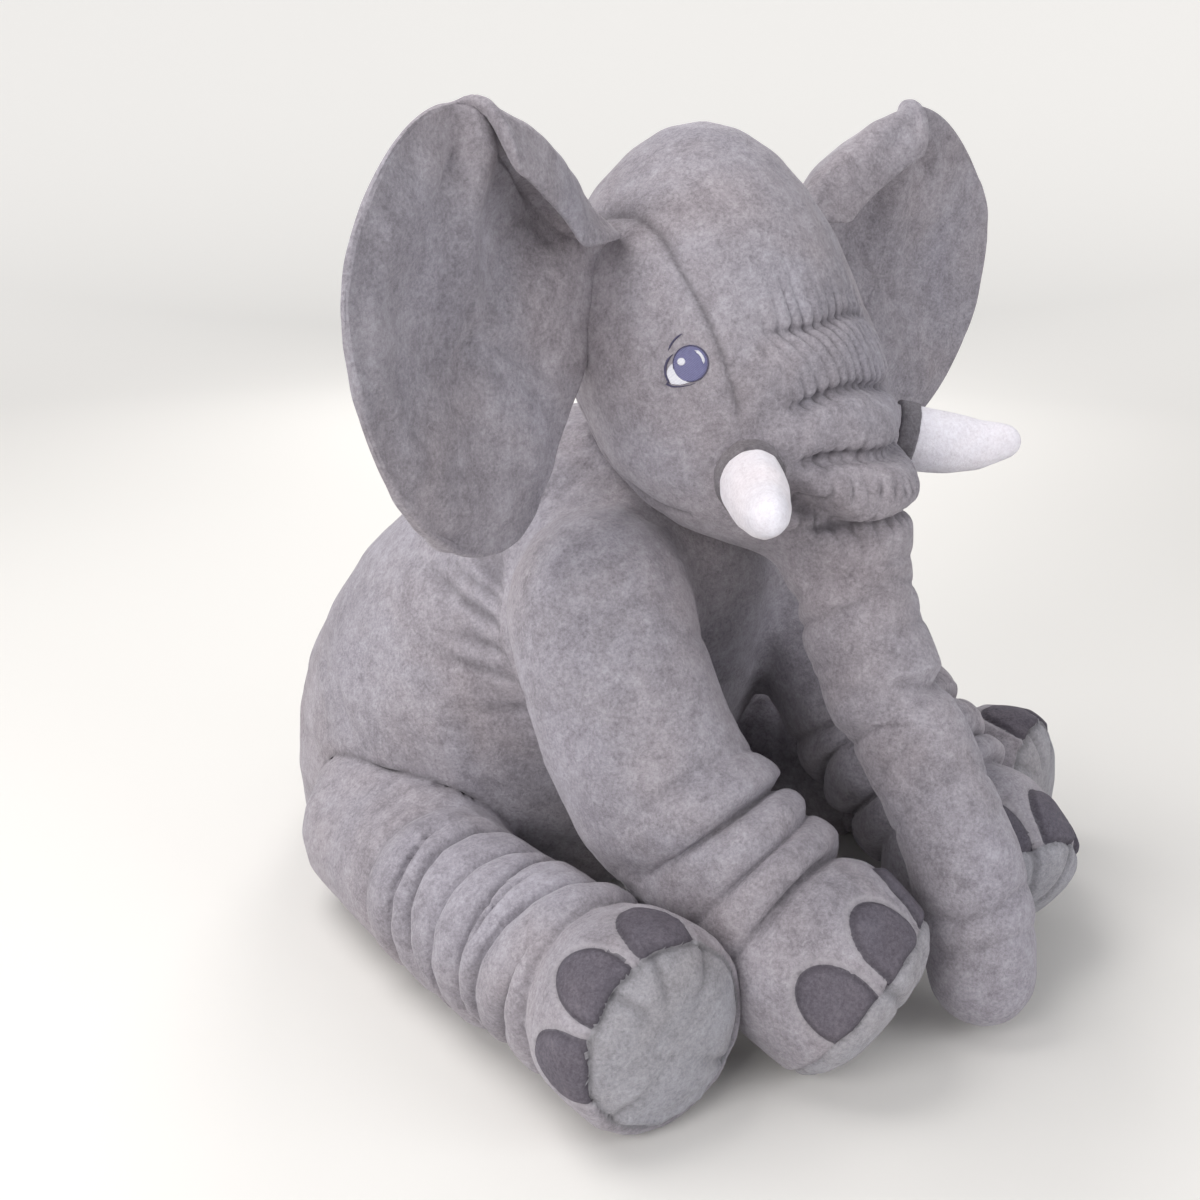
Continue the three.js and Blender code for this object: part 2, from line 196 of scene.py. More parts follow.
def grid_faces(rows, count, closed=True):
    """Faces between rows of points. closed also joins each row's last point to its first."""
    return np.array([
        (r * count + k, r * count + (k + 1) % count, (r + 1) * count + (k + 1) % count, (r + 1) * count + k)
        for r in range(rows - 1) for k in range(count if closed else count - 1)])


def flipped(faces):
    return np.where(faces[:, 2:3] == faces[:, 3:4], faces[:, [1, 0, 2, 2]], faces[:, ::-1])


def facing_out(points, faces):
    """The faces, turned over if the closed shape they make is inside out."""
    corner = points[faces]
    volume = np.einsum("ij,ij->i", corner[:, 0], np.cross(corner[:, 1], corner[:, 2])).sum()
    return faces if volume > 0 else flipped(faces)


def relax(points, faces, rounds):
    """Evens a mesh without shrinking it."""
    edges = edges_of(faces)
    i, j = np.concatenate([edges, edges[:, ::-1]]).T
    count = np.maximum(np.bincount(i, minlength=len(points)), 1)[:, None]
    for turn in range(rounds * 2):
        total = np.stack([np.bincount(i, points[j, a], len(points)) for a in range(3)], 1)
        points = points + (0.55 if turn % 2 == 0 else -0.57) * (total / count - points)
    return points


def normals_of(points, faces):
    across = np.cross(points[faces[:, 2]] - points[faces[:, 0]], points[faces[:, 3]] - points[faces[:, 1]])
    total = np.zeros_like(points)
    for k in range(4):
        for a in range(3):
            total[:, a] += np.bincount(faces[:, k], across[:, a], len(points))
    return total / np.maximum(np.linalg.norm(total, axis=1), 1e-12)[:, None]


def moved_out(points, faces, distance):
    """The points, each moved along the surface's normal."""
    return points + normals_of(points, faces) * distance[:, None]


def kept_part(points, faces, keep):
    faces = faces[keep]
    used, back = np.unique(faces, return_inverse=True)
    return points[used], back.reshape(faces.shape), used


def border_of(faces):
    """The points on a mesh's open edges."""
    pairs, count = np.unique(np.sort(edges_of(faces), axis=1), axis=0, return_counts=True)
    return np.unique(pairs[count == 1])


def largest_part(points, faces):
    """Drops loose scraps."""
    label = np.arange(len(points))
    while True:
        low = label[faces].min(1)
        new = label.copy()
        for k in range(4):
            np.minimum.at(new, faces[:, k], low)
        new = new[new]
        if (new == label).all():
            break
        label = new
    names, count = np.unique(label[faces[:, 0]], return_counts=True)
    return kept_part(points, faces, label[faces[:, 0]] == names[count.argmax()])[:2]


def cut(points, faces, level, edge):
    """Moves the points near level = 0 onto it and splits the faces it crosses.

    Returns the points, the faces and each face's side, 1 or -1."""
    value = level(points)
    near = np.nonzero(np.abs(value) < edge * 1.2)[0]
    normal = normals_of(points, faces)[near]
    spot = points[near]
    for turn in range(2):
        slope = np.stack([
            (level(spot + step) - level(spot - step)) / 0.001
            for step in 0.0005 * np.eye(3)], 1)
        slope -= (slope * normal).sum(1)[:, None] * normal
        size = np.maximum((slope ** 2).sum(1), 0.04)
        here = level(spot)
        if turn == 0:
            close = np.abs(here) / np.sqrt(size) < edge * 0.52
        spot = spot - np.where(close, here / size, 0)[:, None] * slope
    points = points.copy()
    points[near] = spot
    sign = np.sign(level(points))
    sign[near[close]] = 0
    s = sign[faces]
    mixed = (s.max(1) > 0) & (s.min(1) < 0)
    first = mixed & (s[:, 0] == 0) & (s[:, 2] == 0)
    second = mixed & ~first & (s[:, 1] == 0) & (s[:, 3] == 0)
    f, g = faces[first], faces[second]
    faces = np.concatenate([
        faces[~(first | second)], f[:, [0, 1, 2, 2]], f[:, [0, 2, 3, 3]],
        g[:, [1, 2, 3, 3]], g[:, [1, 3, 0, 0]]])
    side = np.where(sign[faces].sum(1) > 0, 1, -1)
    return points, faces, side


def split_piece(part, level, edge):
    """A piece's data on each side of a line: (side below 0, side above 0)."""
    points, faces, side = cut(part["points"], part["faces"], level, edge)
    halves = []
    for sign in (-1, 1):
        p, f, used = kept_part(points, faces, side == sign)
        halves.append(dict(points=p, faces=f, painted_shade=part["painted_shade"][used], mark=part["mark"][used]))
    return halves


def rows_of(faces):
    """The faces as lists, each triangle with three points."""
    return [face[:3] if face[2] == face[3] else face for face in faces.tolist()]


def make_object(name, points, faces):
    mesh = bpy.data.meshes.new(name)
    mesh.from_pydata(points.tolist(), [], rows_of(faces))
    mesh.shade_smooth()
    obj = bpy.data.objects.new(name, mesh)
    scene.collection.objects.link(obj)
    return obj


def put_values(mesh, name, values):
    mesh.attributes.new(name, "FLOAT", "POINT").data.foreach_set("value", values.astype(np.float32))


def finished(obj, names=()):
    """The object's points and faces after its modifiers, and some of its values. The object is removed."""
    graph = bpy.context.evaluated_depsgraph_get()
    mesh = bpy.data.meshes.new_from_object(obj.evaluated_get(graph))
    loops = column(mesh.loops, "vertex_index", kind=int)
    start, total = (column(mesh.polygons, key, kind=int) for key in ("loop_start", "loop_total"))
    faces = loops[start[:, None] + np.minimum(np.arange(4), total[:, None] - 1)]
    values = [column(mesh.attributes[name].data, "value") for name in names]
    points = column(mesh.vertices, "co", 3)
    bpy.data.objects.remove(obj)
    bpy.data.meshes.remove(mesh)
    return points, faces, *values


def subdivided(points, faces, **values):
    obj = make_object("fine", points, faces)
    for name, value in values.items():
        put_values(obj.data, name, value)
    obj.modifiers.new("fine", "SUBSURF").levels = 1
    return finished(obj, values)


CLOTH = dict(
    quality=4, mass=0.25, air_damping=2.0, tension_stiffness=12, compression_stiffness=12, shear_stiffness=4,
    bending_stiffness=0.15, vertex_group_mass="held", pin_stiffness=1.0, use_pressure=True)
CLOTH_STEPS = 20
HALF_HELD = 0.35


def swelled(points, faces, held, pressure, cap, slack, half_held=None):
    """Lets the fabric fill and wrinkle: a short pressure cloth simulation, held at some points."""
    obj = make_object("swelling", points, faces)
    group = obj.vertex_groups.new(name="held")
    group.add(np.nonzero(held)[0].tolist(), 1.0, "REPLACE")
    if half_held is not None:
        group.add(np.nonzero(half_held & ~held)[0].tolist(), HALF_HELD, "REPLACE")
    cloth = obj.modifiers.new("swelling", "CLOTH")
    for key, value in CLOTH.items():
        setattr(cloth.settings, key, value)
    cloth.settings.shrink_min = -slack
    cloth.settings.uniform_pressure_force = pressure
    cloth.settings.effector_weights.gravity = 0
    cloth.collision_settings.use_collision = False
    cloth.collision_settings.use_self_collision = False
    for step in range(1, CLOTH_STEPS + 1):
        scene.frame_set(step)
    moved = finished(obj)[0] - points
    length = np.linalg.norm(moved, axis=1)[:, None]
    moved *= np.where(length > cap, cap / np.maximum(length, 1e-9), 1)
    scene.frame_set(1)
    return points + moved


def cloud(points, size, seed):
    """Smooth noise from about -1 to 1, with features of the given size."""
    scaled = points / size + seed * 17.3
    return np.array([noise.noise(Vector(p)) for p in scaled.tolist()])


def clouds(points, seed, *layers):
    """Some layers of noise, each (height, size), added up."""
    return sum(height * cloud(points, size, seed + k) for k, (height, size) in enumerate(layers))


def fade(x, start, end):
    """0 at start, 1 at end, smooth between."""
    t = np.clip((x - start) / (end - start), 0, 1)
    return t * t * (3 - 2 * t)


def hump(x, width, power=2):
    """1 at x = 0, falling to 0 on both sides. A power of 1 is the sharpest."""
    return np.exp(-np.abs(x / width) ** power)


def painted_crease_shade(push, full):
    """How much shade is painted into a crease's colour, from its depth."""
    return np.clip(push / full, 0, 1) ** 1.3


# ---------------------------------------------------------------- limbs


def slices(name, start, end, count, first):
    """Middles of a tube's cross-sections between two points."""
    points = points_of(name).astype(float)
    start, end = np.array(start), np.array(end)
    line = end - start
    share = (points - start) @ line / (line @ line)
    middles = []
    for t in np.linspace(first, 1, count):
        near = points[np.abs(share - t) < 0.06]
        if len(near) < 6:
            continue
        flat = near - np.outer((near - start) @ line / (line @ line) - t, line)
        middles.append((flat.min(0) + flat.max(0)) / 2)
    return middles


def spine_through(points, count=160):
    """An even, smooth polyline through some points."""
    points = np.array(points)
    for _ in range(2):
        points = np.concatenate([points[:1], (points[:-1] + points[1:]) / 2, points[-1:]])
    gap = np.r_[0, np.cumsum(np.linalg.norm(np.diff(points, axis=0), axis=1))]
    even = np.linspace(0, gap[-1], count)
    return np.stack([np.interp(even, gap, points[:, a]) for a in range(3)], 1)


def along(points, spine, up):
    """Each point's distance back from the spine's end, turn round it from up, and direction from it."""
    gap = np.linalg.norm(spine[1] - spine[0])
    nearest = np.empty(len(points), int)
    for begin in range(0, len(points), 4000):
        part = points[begin:begin + 4000]
        nearest[begin:begin + 4000] = ((part[:, None] - spine[None]) ** 2).sum(2).argmin(1)
    tangent = np.gradient(spine, axis=0)
    tangent /= np.linalg.norm(tangent, axis=1)[:, None]
    axis, radial = tangent[nearest], points - spine[nearest]
    extra = (radial * axis).sum(1)
    back = (len(spine) - 1 - nearest) * gap - extra
    radial = radial - extra[:, None] * axis
    up = np.asarray(up, float) - axis * (axis @ np.asarray(up, float))[:, None]
    up /= np.linalg.norm(up, axis=1)[:, None]
    turn = np.arctan2((radial * np.cross(axis, up)).sum(1), (radial * up).sum(1))
    return back, turn, radial / np.maximum(np.linalg.norm(radial, axis=1), 1e-9)[:, None]


WANDER = 0.0055


def ring_folds(back, turn, rows, width, seed):
    """(creases, rolls) round a limb, each from 0 to 1. A crease wanders and fades in and out on its way."""
    creases, rolls, before = np.zeros(len(back)), np.zeros(len(back)), None
    for k, row in enumerate(rows):
        phase = seed + 2.4 * k
        line = row + WANDER * np.sin(turn + phase) + 0.4 * WANDER * np.sin(2 * turn + 1.7 * phase)
        strength = 0.72 + 0.28 * np.sin(turn + 1.3 * phase + 1)
        creases = np.maximum(creases, strength * hump(back - line, width, 1.4))
        if before is not None:
            share = (back - (line + before) / 2) / ((line - before) / 2)
            uneven = 0.80 + 0.20 * np.sin(turn + 2.1 * phase)
            rolls = np.maximum(rolls, uneven * np.clip(1 - share ** 2, 0, 1) ** 0.65)
        before = line
    return creases, rolls


# ---------------------------------------------------------------- pieces

pieces = []


def add_piece(name, points, faces, body, material="grey_plush", slot=None, replaced=(), bend=None, painted_shade=None,
              mark=None):
    """Keeps a finished shape. bend is (other body, direction, start, length), for a piece over a joint.

    The painted shade and the mark, from 0 to 1, say where shade is painted darker into the pile's colour in
    creases, seams, grooves and hollows, and where its edge shows."""
    if painted_shade is None:
        painted_shade = mark = np.zeros(len(points))
    elif mark is None:
        mark = np.zeros(len(points))
    pieces.append(dict(
        name=name, points=points, faces=faces, body=body, material=material, slot=slot or material,
        replaced=replaced, bend=bend, painted_shade=painted_shade, mark=mark))


# ---------------------------------------------------------------- the body's skin

# What differs between a front and a hind leg, in metres. soft holds the folds pressed in before the fabric
# fills out: their depth and width, the height of the rolls between them, and the foot's bulge. roll is the
# height of the sharper rolls that come after. rolled is the side the folds are on, way the leg's direction.
LEGS = {
    "front": dict(
        fillet=0.062, border=0.010, up=(0, -0.35, 1), first_slice=0.42, seed=0.6,
        folds=(0.090, 0.124, 0.159, 0.193),
        soft=(0.0068, 0.0066, 0.0035, 0.003), held_crease=0.0038, roll=0.0066, rolled=(-0.65, -0.76, 0.1),
        crown=0.0, groove=0.0019, way=(0.45, -0.68, -0.57), pivot="front_leg_lift_"),
    "hind": dict(
        fillet=0.05, border=0.008, up=(0, 0.2, 1), first_slice=0.25, seed=2.2,
        folds=(0.080, 0.105, 0.131, 0.158, 0.186, 0.215, 0.245, 0.276),
        soft=(0.0056, 0.0054, 0.0025, 0.0055), held_crease=0.0032, roll=0.0046, rolled=(0.69, 0.72, 0),
        crown=0.0042, groove=0.0030, way=(0.72, -0.69, 0), pivot="hind_leg_splay_")}
NAILS = ("outer", "middle", "inner")
THIGH_CREASE = 0.0062
LEG_SEED_SHIFT = 1.4


def leg_names(kind, side):
    nails = [f"{kind}_nail_{place}_{side}" for place in NAILS]
    return [f"{kind}_leg_cover_{side}", f"{kind}_leg_stuffing_{side}", f"{kind}_sole_{side}", *nails]


torso_hull = hull(["torso_cover", "torso_stuffing"])
leg_hulls = {(kind, side): hull(leg_names(kind, side)) for kind in LEGS for side in SIDES}
body_low, body_shape = block_round([torso_hull, *leg_hulls.values()], SKIN_STEP)


def body_distances(shell):
    return distances(shell, body_low, body_shape, SKIN_STEP, FINE - PROUD)


torso_depth = body_distances(torso_hull)
torso_field = Field(torso_depth, body_low, SKIN_STEP)
body_height = SKIN_STEP * (body_low[2] + np.arange(body_shape[2]))
joined, borders = {}, {}  # for each leg: its skin merged with the torso's, and the line where the two meet
for (kind, side), shell in leg_hulls.items():
    depth = body_distances(shell)
    edge = np.where(depth < BAND, depth - torso_depth - LEGS[kind]["border"], BAND)
    borders[kind, side] = Field(edge, body_low, SKIN_STEP)
    joined[kind, side] = merged(torso_depth, depth, LEGS[kind]["fillet"])
    if kind == "hind":  # the crease where the top of a thigh meets the belly
        joined[kind, side] += THIGH_CREASE * hump(edge, 0.0065) * fade(body_height, 0.075, 0.12)


def on_floor(points):
    """Flattens what would go below the floor."""
    points = points.copy()
    points[:, 2] = np.maximum(points[:, 2], FLOOR_GAP)
    return points


def thigh_crease(points, side):
    """1 on the line where the top of a thigh meets the belly."""
    return hump(borders["hind", side].at(points), 0.0034) * fade(points[:, 2], 0.075, 0.12)


def clear_of_borders(points, near=0.003, far=0.022):
    """0 on the lines where the legs join the torso, 1 away from them."""
    room = np.ones(len(points))
    for field in borders.values():
        room = np.minimum(room, fade(np.abs(field.at(points)), near, far))
    off_torso = fade(torso_field.at(points), 0.030, 0.044)
    return 1 - (1 - room) * (1 - off_torso)


def on_line(level, points):
    return points[np.abs(level(points)) < 0.003]


# ---- torso

TORSO_CENTRE = middle_of("torso_cover")
# Wrinkles fanning back from each armpit: start (back, up), direction, length and depth.
ARMPIT_WRINKLES = [
    (0.004, 0.012, 98, 0.060, 0.0030), (0.002, 0.006, 118, 0.070, 0.0034),
    (0.000, 0.000, 138, 0.085, 0.0038), (-0.004, -0.010, 152, 0.080, 0.0032),
    (-0.014, -0.030, 158, 0.110, 0.0042), (-0.020, -0.046, 166, 0.090, 0.0034),
    (-0.026, -0.064, 172, 0.105, 0.0034), (-0.030, -0.084, 180, 0.080, 0.0026)]


def cut_torso():
    everything = np.minimum.reduce(list(joined.values()))
    points, faces = Field(everything, body_low, SKIN_STEP).surface(3)
    for field in borders.values():
        points, faces, side = cut(points, faces, field.at, SKIN_STEP)
        points, faces, _ = kept_part(points, faces, side > 0)
    return points, faces


def armpit_wrinkles(points, side):
    """Depth of the wrinkles on one side of the torso."""
    rim = on_line(borders["front", side].at, torso_border)
    low_half = rim[rim[:, 2] < np.percentile(rim[:, 2], 60)]
    armpit = low_half[low_half[:, 1].argmax()]
    centre = TORSO_CENTRE[:2]
    angle = np.arctan2(points[:, 1] - centre[1], (points[:, 0] - centre[0]) * SIDES[side])
    home = math.atan2(armpit[1] - centre[1], (armpit[0] - centre[0]) * SIDES[side])
    back = (angle - home) * np.linalg.norm(points[:, :2] - centre, axis=1)
    up = points[:, 2] - armpit[2]
    total = np.zeros(len(points))
    for k, (b, u, direction, length, depth) in enumerate(ARMPIT_WRINKLES):
        way = math.radians(direction)
        run = (back - b) * -math.cos(way) + (up - u) * math.sin(way)
        bow = 0.010 * (run / length) ** 2 * (1 if k % 2 else -0.6)
        off = (back - b) * -math.sin(way) - (up - u) * math.cos(way) + bow
        share = run / length
        strength = fade(share, -0.12, 0.08) * (1 - fade(share, 0.35, 1.0))
        total = np.maximum(total, depth * strength * hump(off, 0.0032 + 0.004 * np.clip(share, 0, 1)))
    return total * (np.abs(back) < 0.2)


def finish_torso(points, faces):
    held = points[:, 2] < 0.003
    held[border_of(faces)] = True
    near = clear_of_borders(points) < 0.6
    points = swelled(on_floor(points), faces, held, 3.0, 0.006, 0.02, near)
    points, faces = subdivided(points, faces)
    room = clear_of_borders(points, 0.0, 0.012)
    wrinkle = np.maximum(*[armpit_wrinkles(points, side) for side in SIDES])
    wave = clouds(points, 1, (0.0018, 0.075), (0.0008, 0.028))
    x, on_back = points[:, 0], fade(points[:, 1], -0.02, 0.06)
    seam = hump(x, 0.0024, 1) * on_back
    pillow = 0.0014 * hump(x, 0.014) * on_back
    points = moved_out(points, faces, (wave - wrinkle) * room + pillow - 0.0032 * seam)
    # painted shade: the wrinkles, the back seam's groove and the thigh creases darkened in the colour
    painted_shade = np.maximum(painted_crease_shade(wrinkle, 0.004) * 0.8, 0.8 * seam ** 1.5)
    for side in SIDES:
        painted_shade = np.maximum(painted_shade, 0.75 * thigh_crease(points, side))
    add_piece("torso_cover_plush", on_floor(points), faces, "torso",
              replaced=["torso_cover", "torso_stuffing"], painted_shade=painted_shade)


# ---- legs

NAIL_TALL = 0.045
SOLE_LINES = (-0.55, 0.15, 0.75, 2.3, -2.2)  # soft creases running in from a sole's seam, by their turn


class Foot:
    """The measures of a foot, read from its sole and nails."""

    def __init__(self, kind, side):
        points = points_of(f"{kind}_sole_{side}").astype(float)
        self.middle = middle_of(f"{kind}_sole_{side}")
        spread = np.cov((points - points.mean(0)).T)
        axis = np.linalg.eigh(spread)[1][:, 0]
        self.pivot = np.array(joints[LEGS[kind]["pivot"] + side]["pos_m"])
        outward = self.middle - middle_of(f"{kind}_leg_cover_{side}")
        self.axis = axis if axis @ outward > 0 else -axis
        height, radius, _ = self.polar(points)
        self.top, self.radius = height.max(), radius.max()
        self.seam_on_wall = kind == "front"
        self.seam_height = self.top - 0.020  # for a hind foot, measured on the leg's own surface later
        self.seam_radius = self.radius * 1.02
        self.nails = {}
        for place in NAILS:
            nail = points_of(f"{kind}_nail_{place}_{side}").astype(float)
            centre = nail.mean(0)
            normal = centre - self.middle
            normal = unit(normal - (normal @ self.axis) * self.axis)
            across = np.cross(normal, -self.axis)
            u = (nail - centre) @ across
            self.nails[place] = (centre, normal, across, u.min(), u.max())

    def polar(self, points):
        reach = points - self.middle
        height = reach @ self.axis
        flat = reach - np.outer(height, self.axis)
        side = unit(np.cross(self.axis, UP))
        up = np.cross(side, self.axis)
        return height, np.linalg.norm(flat, axis=1), np.arctan2(flat @ side, flat @ up)

    def sole_level(self, points):
        """Below 0 on the sole."""
        height, radius, turn = self.polar(points)
        wobble = 0.0007 * np.sin(11 * turn)
        if self.seam_on_wall:
            return self.seam_height + wobble - height
        return np.maximum(radius - self.seam_radius - wobble, -0.026 - height)

    def nail_level(self, points, place):
        """Below 0 on one nail."""
        centre, normal, across, low, high = self.nails[place]
        height, radius, _ = self.polar(points)
        u = (points - centre) @ across
        from_seam = self.seam_height - height
        if not self.seam_on_wall:
            from_seam = np.hypot(from_seam, radius - self.seam_radius)
        wide, tall = (high - low) / 2, NAIL_TALL * 0.70
        away = np.hypot((u - (low + high) / 2) / wide, (from_seam - 0.30 * NAIL_TALL) / tall) - 1
        behind = (points - centre) @ normal < -0.03
        return np.where(behind, 0.05, away * wide)


def match_border(points, faces, others):
    """Puts the points of an open edge exactly on the other piece's open edge."""
    points = points.copy()
    for i in border_of(faces):
        gap = np.linalg.norm(others - points[i], axis=1)
        if gap.min() < SKIN_STEP * 0.7:
            points[i] = others[gap.argmin()]
    return points


def make_leg(kind, side):
    leg, foot, level = LEGS[kind], Foot(kind, side), borders[kind, side].at
    end = foot.middle + foot.axis * foot.top
    middles = slices(f"{kind}_leg_cover_{side}", foot.pivot, end, 7, leg["first_slice"])
    spine = spine_through([foot.pivot, *middles[:-1], end])
    rows = leg["folds"]
    seed = leg["seed"] + (0 if side == "R" else LEG_SEED_SHIFT)
    mirror = np.array((SIDES[side], 1, 1))
    rolled_side = unit(mirror * leg["rolled"])

    points, faces = Field(joined[kind, side], body_low, SKIN_STEP).surface(3)
    points, faces, part = cut(points, faces, level, SKIN_STEP)
    points, faces, _ = kept_part(points, faces, part < 0)
    points, faces = largest_part(points, faces)
    points = match_border(points, faces, torso_border)

    def shape(points, depth, width, puff, bulge):
        """(creases, rolls) at some points, in metres."""
        back, turn, radial = along(points, spine, leg["up"])
        facing = radial @ rolled_side
        if kind == "hind":
            late = 4 * (back - rows[0])
            fading = 1 - fade(back, rows[-2], rows[-1] + 0.03)
            fading *= 0.10 + 0.90 * fade(facing, -1.25 + late, -0.6 + late)
        else:
            fading = 1 - 0.75 * fade(back, rows[-2], rows[-1] + 0.02)
            fading *= 0.06 + 0.94 * fade(facing, -0.85, 0.15)
        creases, rolls = ring_folds(back, turn, rows, width, seed)
        bulb = (1 - fade(back, rows[0] - 0.035, rows[0])) * fade(back, 0.0, 0.02)
        room = clear_of_borders(points)
        return depth * creases * fading * room, (puff * rolls * fading + bulge * bulb) * room

    crease, swell = shape(points, *leg["soft"])
    points = on_floor(moved_out(points, faces, swell - crease))
    held = (points[:, 2] < 0.002) | (crease > leg["held_crease"])
    held[border_of(faces)] = True
    points = swelled(points, faces, held, 4.0, 0.006, 0.03, np.abs(level(points)) < 0.02)
    points, faces = subdivided(points, faces)
    room = clear_of_borders(points, 0.001, 0.02)
    sharp, rolled = shape(points, 0.0030, 0.0026, leg["roll"], 0)
    height, radius, turn = foot.polar(points)
    if not foot.seam_on_wall:
        foot.seam_height = height[(np.abs(radius - foot.seam_radius) < 0.003) & (height > -0.03)].mean()
    wave = 0.0011 * cloud(points, 0.045, 3 + seed) + 0.0005 * cloud(points, 0.016, 5 + seed)
    push = (wave - sharp + rolled) * room * (1 - 0.7 * fade(height, -0.07, -0.03))
    # The sole: a crowned pad in a seam, puckered where it is gathered.
    seam = foot.sole_level(points)
    on_sole, inside = seam < 0, np.clip(-seam, 0, None)
    crown = leg["crown"] * fade(inside, 0, 0.022)
    gathered = 0.5 + 0.5 * np.sin(15 * turn + 2 * np.sin(3 * turn + seed))
    pucker = 0.0011 * gathered * hump(inside - 0.004, 0.007, 1)
    groove = leg["groove"] * hump(seam, 0.0026) * (height > -0.04)
    lines = np.zeros(len(points))
    for k, at in enumerate(SOLE_LINES):
        bend = turn - at - 6 * (foot.radius - radius) * (0.5 if k % 2 else -0.4)
        across = np.angle(np.exp(1j * bend)) * radius
        lines = np.maximum(lines, 0.0034 * hump(across, 0.0036) * (1 - fade(inside, 0.008, 0.045)))
    push += (crown - pucker - lines) * on_sole - groove
    # painted shade: the leg's creases, the sole's seam groove and the creases on the sole darkened in the
    # colour
    painted_shade = painted_crease_shade(sharp, 0.0030) + groove / 0.0036 + lines / 0.006 * on_sole
    if kind == "hind":
        painted_shade += 0.75 * thigh_crease(points, side)
    painted_shade, mark = np.clip(painted_shade, 0, 1), np.zeros(len(points))
    for place in NAILS:  # each nail is a raised patch with a stitched edge
        near = foot.nail_level(points, place)
        push += (0.0016 * fade(-near, 0, 0.003) - 0.0020 * hump(near, 0.0024)) * (seam > 0.0005)
        # painted shade in the groove round the nail
        painted_shade = np.maximum(painted_shade, 0.6 * hump(near + 0.0008, 0.0018) * (seam > 0))
        mark = np.maximum(mark, hump(near - 0.0022, 0.0013) * (seam > 0))
    points = on_floor(moved_out(points, faces, push))

    part, body = dict(points=points, faces=faces, painted_shade=painted_shade, mark=mark), f"{kind}_leg_{side}"
    sole, part = split_piece(part, foot.sole_level, SKIN_STEP / 2)
    name = f"{kind}_sole_{side}"
    add_piece(name + "_plush", **sole, body=body, material="sole_plush", replaced=[name])
    for place in NAILS:
        pad, part = split_piece(part, lambda p: foot.nail_level(p, place), SKIN_STEP / 2)
        name = f"{kind}_nail_{place}_{side}"
        add_piece(name + "_plush", **pad, body=body, material="dark_plush", replaced=[name])
    way = unit(mirror * leg["way"])
    begin = (on_line(level, torso_border) @ way).max() + 0.001
    add_piece(f"{kind}_leg_{side}", **part, body="torso", replaced=leg_names(kind, side)[:2],
              bend=(body, way, begin, 0.07))


torso_points, torso_faces = cut_torso()
torso_border = torso_points[border_of(torso_faces)]
for side in SIDES:
    for kind in LEGS:
        make_leg(kind, side)
finish_torso(torso_points, torso_faces)

# ---------------------------------------------------------------- head and trunk


def cover_names(name):
    return [name + "_cover", name + "_stuffing"]


head_hull = hull(["head_side_R", "head_side_L", "head_centre_panel", "head_stuffing"])
upper_hull, lower_hull = hull(cover_names("trunk_upper")), hull(cover_names("trunk_lower"))
head_low, head_shape = block_round([head_hull, upper_hull, lower_hull], HEAD_STEP)
head_depth, upper_depth, lower_depth = (
    distances(shell, head_low, head_shape, HEAD_STEP, FINE - PROUD)
    for shell in (head_hull, upper_hull, lower_hull))
trunk_depth = merged(upper_depth, lower_depth, 0.03)
face_depth = merged(head_depth, trunk_depth, 0.055)
for side in SIDES:  # the face rises a little round each tusk
    tusk_hull = hull([f"tusk_cover_{side}", f"tusk_stuffing_{side}"])
    tusk_depth = distances(tusk_hull, head_low, head_shape, HEAD_STEP, FINE)
    face_depth = np.minimum(face_depth, np.maximum(tusk_depth - 0.007, head_depth - 0.004))
trunk_border = Field(trunk_depth - head_depth - 0.004, head_low, HEAD_STEP)

SEAM_X = float(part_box("head_centre_panel")[1].x)
HEAD_MIDDLE = middle_of("head_stuffing")
FORWARD = (0, -1, 0)
trunk_top, trunk_bend = (np.array(joints[name]["pos_m"]) for name in ("trunk_swing", "trunk_curl"))
tip_low, tip_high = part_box("trunk_lower_cover")
trunk_tip = np.array((0, tip_low.y + (tip_high.y - tip_low.y) * 0.27, tip_low.z))
trunk_spine = spine_through(
    [trunk_top + (0, 0, 0.045), trunk_top, *slices("trunk_upper_cover", trunk_top, trunk_bend, 4, 0.3),
     *slices("trunk_lower_cover", trunk_bend, trunk_tip, 7, 0.12), trunk_tip])

# Gathers across the face: height, half width, depth. Puffs and pleats run between them.
GATHERS = [(0.467, 0.060, 0.0048), (0.423, 0.064, 0.0066), (0.385, 0.060, 0.0088), (0.343, 0.052, 0.0090)]
PUFFS = (0.0026, 0.0075, 0.0050)
PLEAT_GAP = 0.0094
PLEAT_DEPTH = 0.0042
SEAM_DEPTH = 0.0038
JAW_HOLLOW = 0.017
# Folds round the trunk: distance back from its tip, depth.
TRUNK_FOLDS = [
    (0.068, 0.0020), (0.094, 0.0024), (0.166, 0.0030), (0.203, 0.0022), (0.231, 0.0036), (0.258, 0.0046),
    (0.290, 0.0024), (0.317, 0.0036), (0.336, 0.0030)]


def gather_line(x, k):
    height, half, _ = GATHERS[k]
    return height + 0.006 * np.cos(x / half * 1.4) + 0.0022 * np.sin(x / 0.017 + 2.1 * k) - 0.0035


def on_face(points):
    """1 on the front of the head, 0 on its sides and back."""
    return fade(HEAD_MIDDLE[1] - 0.025 - points[:, 1], 0, 0.035)


def gathers(points, width):
    total = np.zeros(len(points))
    for k, (_, half, depth) in enumerate(GATHERS):
        off = points[:, 2] - gather_line(points[:, 0], k)
        inner = 1 - fade(np.abs(points[:, 0]), half * 0.7, half * 1.15)
        total = np.maximum(total, depth * hump(off, width, 1.5) * inner)
    return total * on_face(points)


def face_puffs(points):
    x, z = points[:, 0], points[:, 2]
    total = np.zeros(len(points))
    for k, high in enumerate(PUFFS):
        top, bottom = gather_line(x, k), gather_line(x, k + 1)
        share = (z - (top + bottom) / 2) / ((top - bottom) / 2)
        total += high * np.maximum(1 - share ** 2, 0) * (1 - fade(np.abs(x), 0.035, 0.075))
    return total * on_face(points)


